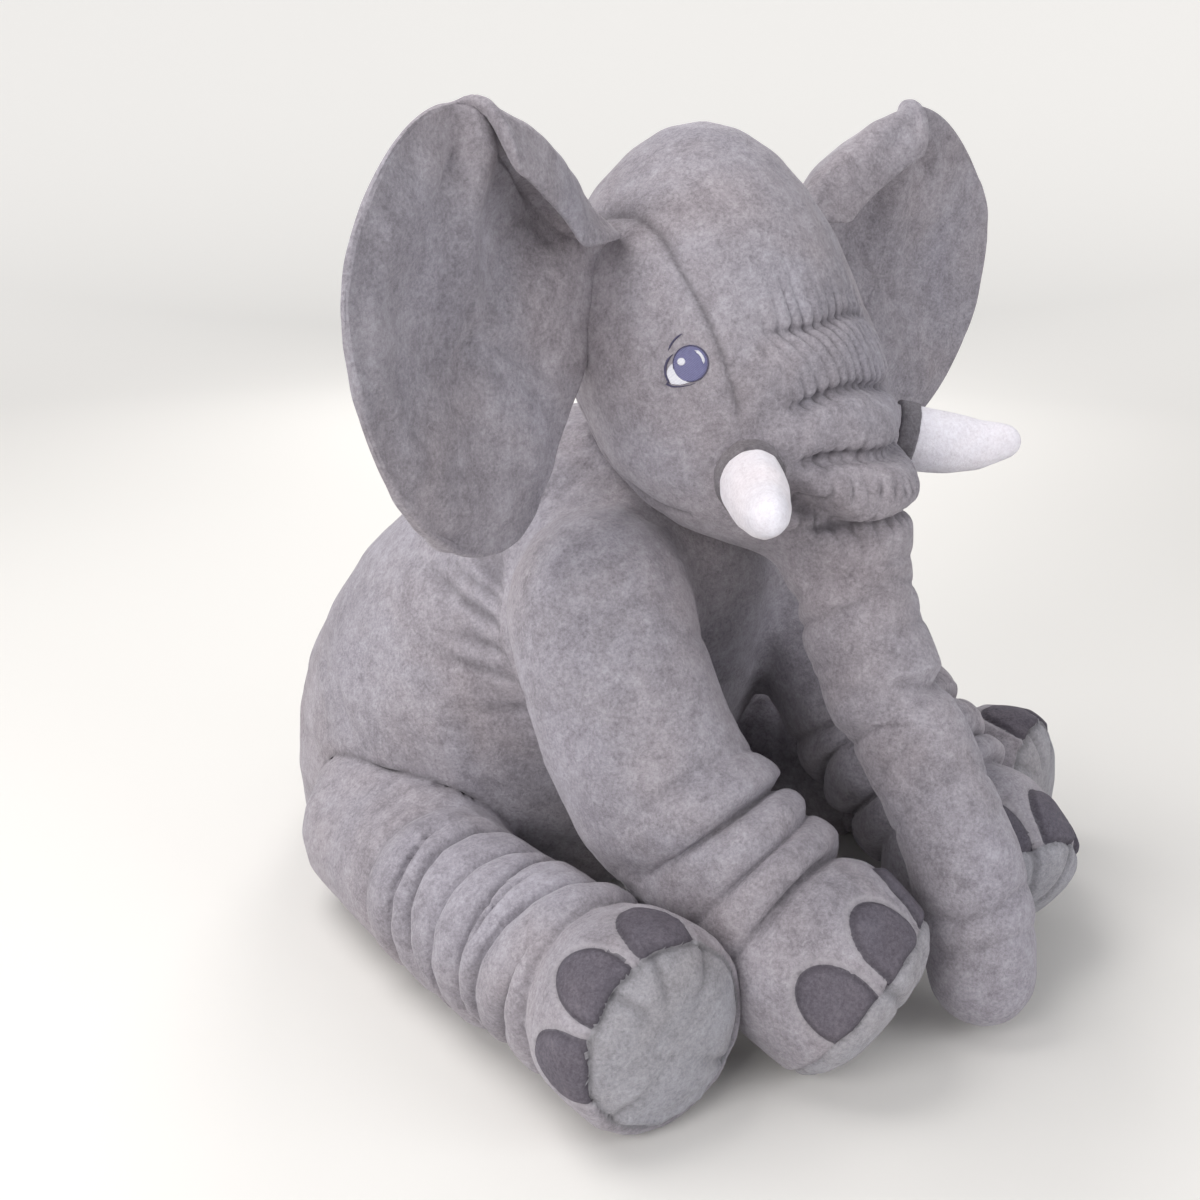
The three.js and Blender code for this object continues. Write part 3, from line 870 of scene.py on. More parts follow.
def pleats(points):
    """Depth of the fine upright pleats above, between and below the gathers."""
    x, z = points[:, 0], points[:, 2]
    above = [z - gather_line(x, k) for k in range(len(GATHERS))]
    first, second, third = ((above[k] <= 0) & (above[k + 1] > 0) for k in range(3))
    below = above[3] <= 0
    near = hump(np.minimum(np.abs(above[1]), np.abs(above[2])), 0.0055, 1)
    reach = hump(above[0], 0.025, 1) * (above[0] > 0)
    for where, strength in ((first, 0.75 + 0.25 * np.cos(above[0] * 140)), (second, near),
                            (third, 0.5 + 0.4 * np.cos(above[2] * 300)), (below, hump(above[3], 0.010, 1))):
        reach = np.where(where, strength, reach)
    slant = np.where(first, 0.30, np.where(above[2] <= 0, -0.2, 0.04))
    wobble = cloud(np.stack([x * 0.6, z * 0.25, 0 * x], 1), 0.012, 9)
    phase = math.pi * (x + slant * above[0]) / PLEAT_GAP + 1.1 * wobble
    valley = hump(np.sin(phase), 0.50) - 0.30
    uneven = 0.65 + 0.35 * cloud(np.stack([np.round(phase / math.pi) * 0.02, z * 0.3, 0 * x], 1), 0.013, 4)
    side = 1 - fade(np.abs(x), 0.045, 0.072)
    return PLEAT_DEPTH * valley * uneven * reach * side * on_face(points)


def beyond_seam(points, x):
    """How far sideways past the seam x is. Up over the head the two seams come a little closer."""
    return x - SEAM_X * (1 - 0.08 * fade(points[:, 2], 0.49, 0.57))


def side_seam(points, width, power=2):
    """1 on the seams between the side panels and the centre panel, fading out low on the face."""
    low = fade(points[:, 2], 0.385, 0.43)
    low = np.where(points[:, 1] > HEAD_MIDDLE[1] - 0.04, 1.0, low)
    return hump(beyond_seam(points, np.abs(points[:, 0])), width, power) * low


def jaw_hollow(points):
    """1 in the hollows between the jaw, the tusks and the gathered top of the trunk."""
    x, z = np.abs(points[:, 0]), points[:, 2]
    line = 0.046 + 0.9 * np.clip(z - 0.345, -0.02, 0.04)
    return hump(x - line, 0.0105) * hump(z - 0.356, 0.018) * on_face(points)


def trunk_folds(points, width):
    back, turn, _ = along(points, trunk_spine, FORWARD)
    total = np.zeros(len(points))
    for k, (row, depth) in enumerate(TRUNK_FOLDS):
        line = row + 0.007 * np.cos(turn + 0.9 * np.sin(2.3 * k)) + 0.002 * np.sin(3 * turn + k)
        strong = depth * (0.62 + 0.38 * np.cos(turn - 1.1 * np.sin(1.9 * k + 0.5)))
        total = np.maximum(total, strong * hump(back - line, width, 1.4))
    on_trunk = (trunk_border.at(points) < 0) & (points[:, 2] < 0.345) & (points[:, 1] < trunk_top[1] + 0.06)
    return total * on_trunk


def make_head():
    points, faces = Field(face_depth, head_low, HEAD_STEP).surface(4)
    points, faces = largest_part(points, faces)
    valley = gathers(points, 0.0050) + 0.0014 * side_seam(points, 0.006) + JAW_HOLLOW * jaw_hollow(points)
    folds = trunk_folds(points, 0.0058)
    held = (valley > 0.0028) | (folds > 0.0022)
    points = moved_out(points, faces, face_puffs(points) - valley - folds)
    points = swelled(points, faces, held, 4.0, 0.005, 0.02)
    points, faces = subdivided(points, faces)
    seam = side_seam(points, 0.0024, 1)
    pillow = 0.0016 * side_seam(points, 0.013)
    gather, pleat = 0.40 * gathers(points, 0.0022), pleats(points)
    folds = 0.45 * trunk_folds(points, 0.0024)
    wave = clouds(points, 6, (0.0012, 0.05), (0.0004, 0.016))
    points = moved_out(points, faces, wave + pillow - SEAM_DEPTH * seam - gather - pleat - folds)
    # painted shade: the seams, gathers, pleats, trunk folds and jaw hollows darkened in the colour
    painted_shade = np.clip(
        seam ** 1.6 + 0.9 * painted_crease_shade(gather, 0.003) + 0.9 * painted_crease_shade(pleat, 0.0020)
        + 0.8 * painted_crease_shade(folds, 0.0028) + 0.5 * jaw_hollow(points), 0, 1)
    return dict(points=points, faces=faces, painted_shade=painted_shade, mark=np.zeros(len(points)))


def trunk_back(points):
    return along(points, trunk_spine, FORWARD)[0]


def split_head(head):
    """Adds the trunk's two halves, split where it bends, and the head's three panels."""
    trunk, skull = split_piece(head, trunk_border.at, HEAD_STEP / 2)
    bend_back = trunk_back(trunk_bend[None])[0] + 0.012
    lower, upper = split_piece(trunk, lambda p: trunk_back(p) - bend_back, HEAD_STEP / 2)
    ring = upper["points"][border_of(upper["faces"])]
    high_ring = ring[np.abs(trunk_border.at(ring)) < 0.004]
    low_ring = ring[np.abs(trunk_back(ring) - bend_back) < 0.004]
    for name, part, body, rim, way, length in (
            ("trunk_upper", upper, "head", high_ring, (0, -0.12, -1), 0.065),
            ("trunk_lower", lower, "trunk_upper", low_ring, (0, -0.42, -1), 0.05)):
        way = unit(way)
        begin = (rim @ way).max()
        add_piece(name, **part, body=body, replaced=cover_names(name), bend=(name, way, begin, length))
    right, skull = split_piece(skull, lambda p: -beyond_seam(p, -p[:, 0]), HEAD_STEP / 2)
    centre, left = split_piece(skull, lambda p: beyond_seam(p, p[:, 0]), HEAD_STEP / 2)
    for name, part in (("head_side_R", right), ("head_side_L", left), ("head_centre_panel", centre)):
        inside = ["head_stuffing"] if name == "head_centre_panel" else []
        add_piece(name + "_plush", **part, body="head", replaced=[name, *inside])


head_part = make_head()
head_tree = BVHTree.FromPolygons(head_part["points"].tolist(), rows_of(head_part["faces"]))
split_head(head_part)

# ---------------------------------------------------------------- eyes


def flat_shape(rings):
    """A patch from rings of (u, v, height), from its edge to its middle point."""
    count, rows = len(rings[0]), len(rings) - 1
    points = np.array([p for ring in rings[:-1] for p in ring] + [rings[-1][0]])
    last, tip = (rows - 1) * count, rows * count
    fan = [(last + k, last + (k + 1) % count, tip, tip) for k in range(count)]
    return points, np.concatenate([grid_faces(rows, count), fan])


DISC_PROFILE = ((0.995, 0.55), (0.95, 0.85), (0.8, 1), (0.5, 1.1), (0.25, 1.12), (0, 1.12))
STITCH_FOOT = -0.0006  # the edge of the stitching sinks this far into the pile


def satin_disc(outline, height):
    """A raised patch of stitching inside a closed outline."""
    outline = np.array(outline)
    middle = outline.mean(0)
    profile = [(1.0, STITCH_FOOT), *((share, lift * height) for share, lift in DISC_PROFILE)]
    return flat_shape([
        [(*(middle + (p - middle) * share), lift) for p in outline] for share, lift in profile])


def satin_line(path, width, height):
    """A raised line of stitching along a path, thin at its ends."""
    path = np.array(path)
    way = np.gradient(path, axis=0)
    way /= np.linalg.norm(way, axis=1)[:, None]
    side = np.stack([-way[:, 1], way[:, 0]], 1)
    share = np.linspace(0, 1, len(path))
    wide = width / 2 * np.clip(np.minimum(share, 1 - share) * 6, 0.15, 1)
    profile = ((-1, STITCH_FOOT), (-0.9, 0.6 * height), (0, height), (0.9, 0.6 * height), (1, STITCH_FOOT))
    rows = [np.c_[path + side * (wide * place)[:, None], np.full(len(path), lift)] for place, lift in profile]
    return np.concatenate(rows), grid_faces(len(rows), len(path), closed=False)


def arc(centre, radius, start, end, count=24, squeeze=1.0):
    angles = np.radians(np.linspace(start, end, count))
    return [(centre[0] + radius * math.cos(a), centre[1] + radius * squeeze * math.sin(a)) for a in angles]


IRIS = 0.0113
WHITE_OUTLINE = [
    *arc((-0.0078, -0.0068), 0.0074, 100, 235, 14), (-0.0118, -0.0134), (-0.0060, -0.0136), (0.0, -0.0118),
    (0.0020, -0.0080), (-0.0030, -0.0020)]
CORNER_LINE = [
    *arc((-0.0045, -0.0040), 0.0118, 128, 222, 20), (-0.0150, -0.0134), (-0.0110, -0.0148),
    (-0.0060, -0.0146), (0.0, -0.0134), (0.0040, -0.0118)]
# Name, material, kind of stitching, its outline or path, and its sizes.
EYE_SHAPES = [
    ("white", "white_thread", satin_disc, WHITE_OUTLINE, 0.0006),
    ("iris", "iris", satin_disc, arc((0, 0), IRIS, 0, 352.5, 48), 0.0011),
    ("rim", "outline", satin_line, arc((0, 0), IRIS, -100, 200, 60), 0.0010, 0.0015),
    ("corner", "outline", satin_line, CORNER_LINE, 0.0017, 0.0013),
    ("crescent", "white_thread", satin_line, arc((0, 0), 0.0086, 2, 74, 18), 0.0020, 0.0021),
    ("glint", "white_thread", satin_disc, arc((-0.0058, 0.0010), 0.0027, 0, 340, 18, 0.9), 0.0019),
    ("lash", "outline", satin_line, arc((0.0020, 0.0030), 0.0175, 118, 165, 18), 0.0013, 0.0010)]


def make_eye(side):
    """Stitched shapes, drawn on a plane and dropped onto the head."""
    home = Vector(middle_of("eye_" + side))
    _, out, _, _ = head_tree.find_nearest(home)
    out = Vector((out.x, out.y, out.z * 0.5)).normalized()
    up = (Vector(UP) - out * out.z).normalized()
    front = up.cross(out) * SIDES[side]
    if front.y > 0:
        front = -front
    for name, material, make, *settings in EYE_SHAPES:
        flat, faces = make(*settings)
        points = []
        for u, v, lift in flat:
            spot, _, _, _ = head_tree.ray_cast(home + front * u + up * v + out * 0.03, -out)
            points.append(spot + out * lift)
        points = np.array(points)
        if normals_of(points, faces).mean(0) @ np.array(out) < 0:
            faces = flipped(faces)
        add_piece(f"eye_{name}_{side}", points, faces, "head", material, "eye_thread",
                  ["eye_" + side] if name == "iris" else [])


for side in SIDES:
    make_eye(side)

# ---------------------------------------------------------------- ears

EAR_TURNS, EAR_ROWS, LIP_ROWS = 168, 24, 12
TOTAL_ROWS = EAR_ROWS + LIP_ROWS
LIP_CURVE = 0.0105
EAR_WAVES = 14  # how many waves its smoothed outline keeps
EAR_THICK, LIP_THICK = 0.0078, 0.0052  # from the middle to each face


def ear_rim(side):
    """The ear's outline as a smooth radius for each turn, and its middle surface as y of (x, share)."""
    both = np.concatenate([points_of(f"ear_{place}_{side}").astype(float) for place in ("front", "back")])
    x, z = both[:, 0] * SIDES[side], both[:, 2]
    middle = np.array(((x.min() + x.max()) / 2, (z.min() + z.max()) / 2))
    angle, radius = np.arctan2(z - middle[1], x - middle[0]), np.hypot(x - middle[0], z - middle[1])
    furthest = []
    for a in np.linspace(-math.pi, math.pi, 49)[:-1]:
        near = np.nonzero(np.abs(np.angle(np.exp(1j * (angle - a)))) < 0.16)[0]
        if len(near):
            furthest.append(near[radius[near].argmax()])
    furthest = np.array(furthest)[np.argsort(angle[furthest])]
    turns = np.linspace(-math.pi, math.pi, EAR_TURNS, endpoint=False)
    waves = np.fft.rfft(np.interp(turns, angle[furthest], radius[furthest], period=2 * math.pi))
    waves[EAR_WAVES:] = 0
    smooth = np.fft.irfft(waves, EAR_TURNS)
    share = radius / np.interp(angle, turns, smooth, period=2 * math.pi)
    fit = np.linalg.lstsq(np.stack([np.ones_like(x), x, share ** 2], 1), both[:, 1], rcond=None)[0]
    return middle, turns, smooth, fit


def ear_sheet(middle, turns, radius, fit):
    """The middle surface of an ear, in rows from its middle out and round its folded lip."""
    up_in = fade(turns, 1.44, 1.62) * (1 - fade(turns, 2.55, 2.86))  # the top inner edge, which folds forward
    lip = 0.003 + 0.053 * up_in
    turn_in = 0.9 + 1.80 * up_in  # how far the lip rolls over
    out = np.stack([np.cos(turns), np.zeros(EAR_TURNS), np.sin(turns)], 1)
    rows = []
    for k in range(TOTAL_ROWS):
        share = max(k / (EAR_ROWS - 1), 0.012) ** 0.8 if k < EAR_ROWS else 1
        reach = (radius - 0.0125 * up_in) * share
        x, z = middle[0] + reach * np.cos(turns), middle[1] + reach * np.sin(turns)
        y = fit[0] + fit[1] * x + fit[2] * share ** 2 - 0.009 * share ** 4 * (np.cos(turns) * 0.5 + 0.5)
        length = lip * max(k - EAR_ROWS + 1, 0) / LIP_ROWS
        bent = np.minimum(length / LIP_CURVE, turn_in)
        straight = length - bent * LIP_CURVE
        sideways = LIP_CURVE * np.sin(bent) + straight * np.cos(bent)
        forward = LIP_CURVE * (1 - np.cos(bent)) + straight * np.sin(bent)
        rows.append(np.stack([x, y, z], 1) + out * sideways[:, None] + np.array(FORWARD) * forward[:, None])
    sheet = np.array(rows)
    # The cupped ear: a long soft fold down from its top pleat, and a hollow behind the lip.
    x, z = sheet[..., 0] - middle[0], sheet[..., 2] - middle[1]
    run = 0.115 - z
    ridge = 0.0115 * hump(x - 0.004 - 0.12 * np.clip(run, 0, 1), 0.011) * np.clip(1 - run / 0.19, 0, 1)
    hollow = 0.018 * hump(x + 0.045, 0.045) * hump(z - 0.060, 0.050)
    off = (x - 0.012) * 0.76 + (z - 0.120) * 0.65
    reach = (x - 0.012) * 0.65 - (z - 0.120) * 0.76
    hollow += 0.0065 * hump(off, 0.007) * fade(reach, -0.01, 0.01) * (1 - fade(reach, 0.03, 0.065))
    hollow += 0.0080 * hump(x - 0.040, 0.016) * hump(z + 0.118, 0.010)
    sheet[:EAR_ROWS, :, 1] += (hollow - ridge)[:EAR_ROWS]
    at_root = (np.abs(z - 0.005) < 0.07) * fade(0.08 - np.abs(z), 0, 0.03)
    sheet[..., 0] -= 0.012 * fade(0.145 - x - middle[0], 0, 0.035) * at_root
    return sheet


def capped(points, faces, middles):
    """Closes each open edge with a fan to the nearest of some middle points."""
    edges, count = edges_of(faces), len(points)
    loose = edges[~np.isin(edges[:, 0] * count + edges[:, 1], edges[:, 1] * count + edges[:, 0])]
    nearest = np.linalg.norm(points[loose].mean(1)[:, None] - middles[None], axis=2).argmin(1)
    fan = np.stack([loose[:, 1], loose[:, 0], count + nearest, count + nearest], 1)
    return np.concatenate([points, middles]), np.concatenate([faces, fan])


def make_ear(side):
    sign, seed, count = SIDES[side], 0 if side == "R" else 5, EAR_TURNS
    middle, turns, radius, fit = ear_rim(side)
    sheet = ear_sheet(middle, turns, radius, fit)
    normal = np.cross(np.roll(sheet, -1, 1) - np.roll(sheet, 1, 1), np.gradient(sheet, axis=0))
    normal /= np.maximum(np.linalg.norm(normal, axis=2), 1e-12)[..., None]
    normal[:3] = unit(normal[3].mean(0))
    if normal[EAR_ROWS // 2, :, 1].mean() > 0:
        normal = -normal
    step = np.linalg.norm(np.diff(sheet, axis=0), axis=2)
    gone = np.concatenate([np.zeros((1, count)), np.cumsum(step, 0)])
    left = gone[-1] - gone  # distance to the rim
    half = EAR_THICK * np.sqrt(1 - np.clip(1 - left / 0.055, 0, 1) ** 2 * 0.985) + 0.0002
    half = np.where(np.arange(TOTAL_ROWS)[:, None] >= EAR_ROWS - 2, np.minimum(half, LIP_THICK), half)
    grid = np.concatenate([sheet + normal * half[..., None], (sheet - normal * half[..., None])[::-1]])
    grid[..., 0] *= sign
    points = grid.reshape(-1, 3)
    points = np.concatenate([points, [points[:count].mean(0), points[-count:].mean(0)]])
    faces, k = grid_faces(2 * TOTAL_ROWS, count), np.arange(count)
    following, end = (k + 1) % count, (2 * TOTAL_ROWS - 1) * count
    a, b = np.full(count, len(points) - 2), np.full(count, len(points) - 1)
    fans = np.concatenate([np.stack([following, k, a, a], 1), np.stack([end + k, end + following, b, b], 1)])
    faces = facing_out(points, np.concatenate([faces, fans]))
    held = np.zeros((2 * TOTAL_ROWS, count), bool)
    held[TOTAL_ROWS - 1:TOTAL_ROWS + 1] = True
    held |= (grid[..., 0] * sign < 0.118) & (np.abs(grid[..., 2] - middle[1]) < 0.08)
    away = np.abs(np.arange(2 * TOTAL_ROWS)[:, None] - (TOTAL_ROWS - 0.5)) * np.ones((1, count))
    # Near the rim, which keeps its shape, the filling out fades away.
    settle = np.r_[fade(np.concatenate([left, left[::-1]]), 0.005, 0.026).ravel(), 1, 1]
    filled = swelled(points, faces, np.r_[held.ravel(), False, False], 2.5, 0.006, 0.025)
    points = points + (filled - points) * settle[:, None]
    middles = points[-2:]
    points, faces, rim = subdivided(points[:-2], faces[:-2 * count], rim=hump(away, 2.2).ravel())
    points, faces = capped(points, faces, middles)
    wave = clouds(points, 11 + seed, (0.0026, 0.048), (0.0012, 0.019))
    points = moved_out(points, faces, wave * (1 - np.r_[rim, 0, 0]))
    layers = [f"ear_{part}_{side}" for part in ("front", "back", "wadding")]
    add_piece("ear_" + side, points, faces, "head", replaced=layers,
              bend=("ear_" + side, np.array((sign, 0, 0)), 0.110, 0.03))


for side in SIDES:
    make_ear(side)

# ---------------------------------------------------------------- tusks, tail and label


def small_piece(names, step, rounds=3):
    points, quads = hull(names, step)
    points, quads = points.astype(float), quads.astype(int)
    quads = facing_out(points, quads)
    return largest_part(relax(points, quads, rounds), quads)


def slimmed(points, base, axis, length):
    """A tusk is a little flat, and slimmer towards its tip."""
    reach = points - base
    share = np.clip(reach @ axis / length, 0, 1)
    side = unit(np.cross(axis, UP))
    up = np.cross(side, axis)
    across = (reach @ side * (0.13 + 0.07 * share))[:, None] * side
    return points - across - (reach @ up * (0.02 + 0.08 * share))[:, None] * up


def make_tusk(side):
    cover, stuffing, cuff = (f"tusk_{part}_{side}" for part in ("cover", "stuffing", "cuff"))
    base = middle_of(cuff)
    reach = points_of(cover).astype(float) - base
    axis = unit(reach[np.linalg.norm(reach, axis=1).argsort()[-12:]].mean(0))
    length = (reach @ axis).max()
    points, faces = small_piece([cover, stuffing], FINE, 4)
    points = swelled(points, faces, np.zeros(len(points), bool), 2.0, 0.002, 0.01)
    points, faces = subdivided(points, faces)
    points = slimmed(moved_out(points, faces, 0.0006 * cloud(points, 0.02, 21)), base, axis, length)
    add_piece(cover + "_plush", points, faces, "tusk_" + side, "white_plush", replaced=[cover, stuffing])
    points, faces = small_piece([cuff], 0.0015)
    points = slimmed(points, base, axis, length)
    # the cuff's pile is painted darker, as shade at the tusk's root
    add_piece(cuff + "_plush", points, faces, "tusk_" + side, "cuff_plush", "dark_plush", [cuff])


def make_tail():
    points, faces = subdivided(*small_piece(["tail"], 0.002))
    low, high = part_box("tail")
    height = points[:, 2] - low.z
    ripple = 0.0007 * np.sin(height / 0.0042 + 1.5 * np.arctan2(points[:, 0], points[:, 1] - high.y + 0.01))
    add_piece("tail_plush", moved_out(points, faces, ripple), faces, "tail", replaced=["tail"])


STRAND_ROWS, STRAND_SIDES = 7, 6
LOCKS = 90


def strand(start, end, bow, radius):
    """One tapered, curved lock of the tuft."""
    rings = []
    for t in np.linspace(0, 1, STRAND_ROWS):
        spot = start + (end - start) * t + bow * math.sin(math.pi * t)
        size = radius * (1 - t ** 2) + 0.00025
        rings.append([spot + size * np.array((math.cos(a), math.sin(a), 0))
                      for a in np.linspace(0, 2 * math.pi, STRAND_SIDES + 1)[:-1]])
    caps = [(0, 5, 4, 3), (3, 2, 1, 0), (36, 37, 38, 39), (39, 40, 41, 36)]
    return np.array(rings).reshape(-1, 3), np.concatenate([grid_faces(STRAND_ROWS, STRAND_SIDES), caps])


def make_tuft():
    rng = np.random.default_rng(7)
    low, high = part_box("tail_tuft")
    top = np.array(((low.x + high.x) / 2, (low.y + high.y) / 2, high.z + 0.006))
    locks, lock_faces = [], []
    for k in range(LOCKS):
        turn, reach = rng.uniform(0, 2 * math.pi), math.sqrt(rng.uniform(0, 1))
        out = np.array((math.cos(turn), math.sin(turn), 0))
        start = top + out * 0.005 * reach
        end = top + out * (0.004 + 0.010 * reach) + (0, 0, -rng.uniform(0.75, 1) * (top[2] - 0.003))
        points, faces = strand(start, end, out * rng.uniform(0.001, 0.004), 0.0013)
        locks.append(points)
        lock_faces.append(faces + k * len(points))
    add_piece("tail_tuft_locks", np.concatenate(locks), np.concatenate(lock_faces), "tail", "dark_plush",
              replaced=["tail_tuft"])


LABEL_ROWS, LABEL_COLUMNS = 27, 19
LABEL_HALF = 0.00035


def make_label():
    """A blank satin strip, a little curled."""
    low, high = box_of("care_label")
    size, count = high - low, LABEL_ROWS * LABEL_COLUMNS
    flat = int(size.argmin())
    tall, wide = [a for a in np.argsort(-size) if a != flat]
    s, t = np.meshgrid(*(np.linspace(-0.5, 0.5, n) for n in (LABEL_ROWS, LABEL_COLUMNS)), indexing="ij")
    layers = []
    for offset in (-LABEL_HALF, LABEL_HALF):
        layer = np.tile((low + high) / 2, (count, 1))
        layer[:, tall] += s.ravel() * size[tall]
        layer[:, wide] += t.ravel() * size[wide]
        layer[:, flat] += (offset + 0.0022 * np.sin(4.2 * s) * (t + 0.5) + 0.0008 * np.cos(9 * t)).ravel()
        layers.append(layer)
    points, inner = np.concatenate(layers), grid_faces(LABEL_ROWS, LABEL_COLUMNS, closed=False)
    places = np.arange(count).reshape(LABEL_ROWS, LABEL_COLUMNS)
    edge = np.concatenate([places[0], places[1:, -1], places[-1, -2::-1], places[-2:0:-1, 0]])
    after = np.roll(edge, -1)
    sides = np.stack([edge, edge + count, after + count, after], 1)
    faces = facing_out(points, np.concatenate([inner, count + inner[:, [0, 3, 2, 1]], sides]))
    add_piece("care_label_satin", points, faces, "torso", "label", "label_cloth", ["care_label"])


for side in SIDES:
    make_tusk(side)
make_tail()
make_tuft()
make_label()

# ---------------------------------------------------------------- materials


class Nodes:
    """A small helper for wiring one material's nodes."""

    def __init__(self, name):
        self.material = bpy.data.materials.new(name)
        self.material.use_nodes = True
        self.tree = self.material.node_tree
        self.shader = self.tree.nodes["Principled BSDF"]
        self.rest = self.attribute("rest").outputs["Vector"]

    def add(self, kind, inputs=(), **settings):
        node = self.tree.nodes.new(kind)
        for key, value in settings.items():
            setattr(node, key, value)
        for key, value in dict(inputs).items():
            self.feed(node.inputs[key], value)
        return node

    def feed(self, socket, value):
        """Links another node's output to an input, or sets the input to a number or a colour."""
        if isinstance(value, bpy.types.NodeSocket):
            self.tree.links.new(value, socket)
        elif isinstance(value, tuple) and socket.type == "RGBA":
            socket.default_value = (*value, 1)
        else:
            socket.default_value = value

    def put(self, **values):
        for key, value in values.items():
            self.feed(self.shader.inputs[key.replace("_", " ")], value)

    def attribute(self, name):
        return self.add("ShaderNodeAttribute", attribute_name=name)

    def noise(self, scale, detail=3.0, roughness=0.6, distortion=0.0):
        inputs = dict(Scale=scale, Detail=detail, Roughness=roughness, Distortion=distortion)
        return self.add("ShaderNodeTexNoise", dict(inputs, Vector=self.rest)).outputs["Fac"]

    def math(self, kind, a, b):
        return self.add("ShaderNodeMath", {0: a, 1: b}, operation=kind).outputs[0]

    def weighted(self, *terms):
        """The sum of some (output, weight) pairs."""
        parts = [self.math("MULTIPLY", output, weight) for output, weight in terms]
        total = parts[0]
        for part in parts[1:]:
            total = self.math("ADD", total, part)
        return total

    def ramp(self, source, *stops):
        node = self.add("ShaderNodeValToRGB", {0: source})
        ramp = node.color_ramp
        while len(ramp.elements) < len(stops):
            ramp.elements.new(0.5)
        for element, (place, colour) in zip(ramp.elements, stops):
            element.position = place
            element.color = (*colour, 1)
        return node.outputs[0]

    def mix(self, share, a, b, kind="MIX"):
        return self.add("ShaderNodeMix", {0: share, 6: a, 7: b}, data_type="RGBA", blend_type=kind).outputs[2]

    def bump(self, *layers):
        """Bumps on top of each other, each (height, strength, distance), into the shader."""
        under = None
        for height, strength, distance in layers:
            node = self.add("ShaderNodeBump", dict(Height=height, Strength=strength, Distance=distance))
            if under is not None:
                self.feed(node.inputs["Normal"], under)
            under = node.outputs["Normal"]
        self.put(Normal=under)


BLACK, HALF = (0, 0, 0), (0.5, 0.5, 0.5)
COOLER, WARMER = (0.94, 0.955, 1.05), (1.04, 0.97, 0.975)
PAINTED_SHADE_TONE = 0.42  # how dark the shade painted into folds, seams and hollows is, against the pile's dark tone


def velour(name, dark, middle, light, sheen, mark_colour=None, mottle=1.0):
    """Short brushed pile: clouds where it is brushed different ways, fine fibre, a soft sheen, and shade
    painted into its creases.
    """
    n = Nodes(name)
    brushed_ways = n.noise(13, 4, 0.62, 0.6)
    brushed = n.noise(95, 5, 0.70, 0.25)
    flecks = n.noise(420, 3, 0.7, 0.3)
    fibre = n.noise(1500, 2, 0.6)
    total = n.weighted((brushed_ways, 0.40 * mottle), (brushed, 0.55 * mottle), (flecks, 0.56), (fibre, 0.20))
    total = n.math("SUBTRACT", total, 0.355 + 0.475 * (mottle - 1))
    colour = n.ramp(total, (0.33, dark), (0.50, middle), (0.69, light))
    hue = n.noise(7, 3, 0.6, 0.4)
    colour = n.mix(n.ramp(hue, (0.35, BLACK), (0.65, HALF)), colour, COOLER, "MULTIPLY")
    colour = n.mix(n.ramp(hue, (0.30, HALF), (0.55, BLACK)), colour, WARMER, "MULTIPLY")
    painted_shade, mark = (n.attribute(key).outputs["Fac"] for key in ("painted_shade", "mark"))
    # painted shade: creases, seams, grooves and hollows darkened in the base colour
    colour = n.mix(n.math("MULTIPLY", painted_shade, 0.62), colour, tuple(PAINTED_SHADE_TONE * c for c in dark))
    colour = n.mix(n.math("MULTIPLY", mark, 0.5), colour, mark_colour or light)
    n.put(Base_Color=colour, Roughness=0.92, Specular_IOR_Level=0.12)
    n.put(Sheen_Weight=sheen, Sheen_Roughness=0.42, Sheen_Tint=tuple(min(1, 1.9 * c) for c in light))
    n.bump((brushed, 0.75, 0.0012), (flecks, 0.85, 0.0008), (fibre, 0.5, 0.00035))
    return n.material


def thread(name, colour, shade, angle):
    """Satin stitch: fine parallel threads with a soft shine."""
    n = Nodes(name)
    turn = n.add("ShaderNodeMapping", dict(Rotation=angle, Vector=n.rest)).outputs["Vector"]
    wave = n.add("ShaderNodeTexWave", {"Scale": 420, "Distortion": 1.2, "Detail Scale": 2, "Vector": turn},
                 wave_type="BANDS", bands_direction="X").outputs["Fac"]
    tone = n.weighted((wave, 0.55), (n.noise(500, 3), 0.55))
    n.put(Base_Color=n.ramp(tone, (0.25, shade), (0.75, colour)), Roughness=0.42, Specular_IOR_Level=0.4,
          Sheen_Weight=0.25)
    n.bump((wave, 0.6, 0.0003))
    return n.material


# Each pile's dark, middle and light tones, its sheen, and for some a lighter edge and how mottled it is.
VELOURS = {
    "grey_plush": ((0.212, 0.196, 0.214), (0.312, 0.291, 0.315), (0.43, 0.408, 0.44), 0.35),
    "sole_plush": ((0.225, 0.22, 0.235), (0.325, 0.318, 0.338), (0.43, 0.42, 0.45), 0.3, None, 0.8),
    "dark_plush": (
        (0.085, 0.076, 0.092), (0.125, 0.114, 0.135), (0.18, 0.165, 0.19), 0.15, (0.3, 0.29, 0.31), 0.7),
    # the tusks' cuffs: the grey pile with shade painted in, darker than the body's
    "cuff_plush": ((0.12, 0.112, 0.12), (0.185, 0.173, 0.185), (0.26, 0.246, 0.262), 0.25),
    "white_plush": ((0.72, 0.68, 0.72), (0.84, 0.81, 0.85), (0.93, 0.91, 0.95), 0.3, None, 0.7)}
# Each thread's colour, its shade, and the turn of its stitches.
THREADS = {
    "iris": ((0.20, 0.20, 0.36), (0.10, 0.095, 0.21), (0, 0.6, 0)),
    "outline": ((0.085, 0.075, 0.15), (0.045, 0.04, 0.085), (0, 0, 0.5)),
    "white_thread": ((0.88, 0.88, 0.92), (0.62, 0.62, 0.70), (0, 0.9, 0)),
    "label": ((0.82, 0.82, 0.80), (0.70, 0.70, 0.69), (0.4, 0, 0))}
materials = {name: velour(name, *settings) for name, settings in VELOURS.items()}
materials.update({name: thread(name, *settings) for name, settings in THREADS.items()})

# ---------------------------------------------------------------- objects

MATCH = 50000  # points of two pieces within 1 / MATCH of a metre are one point of the skin


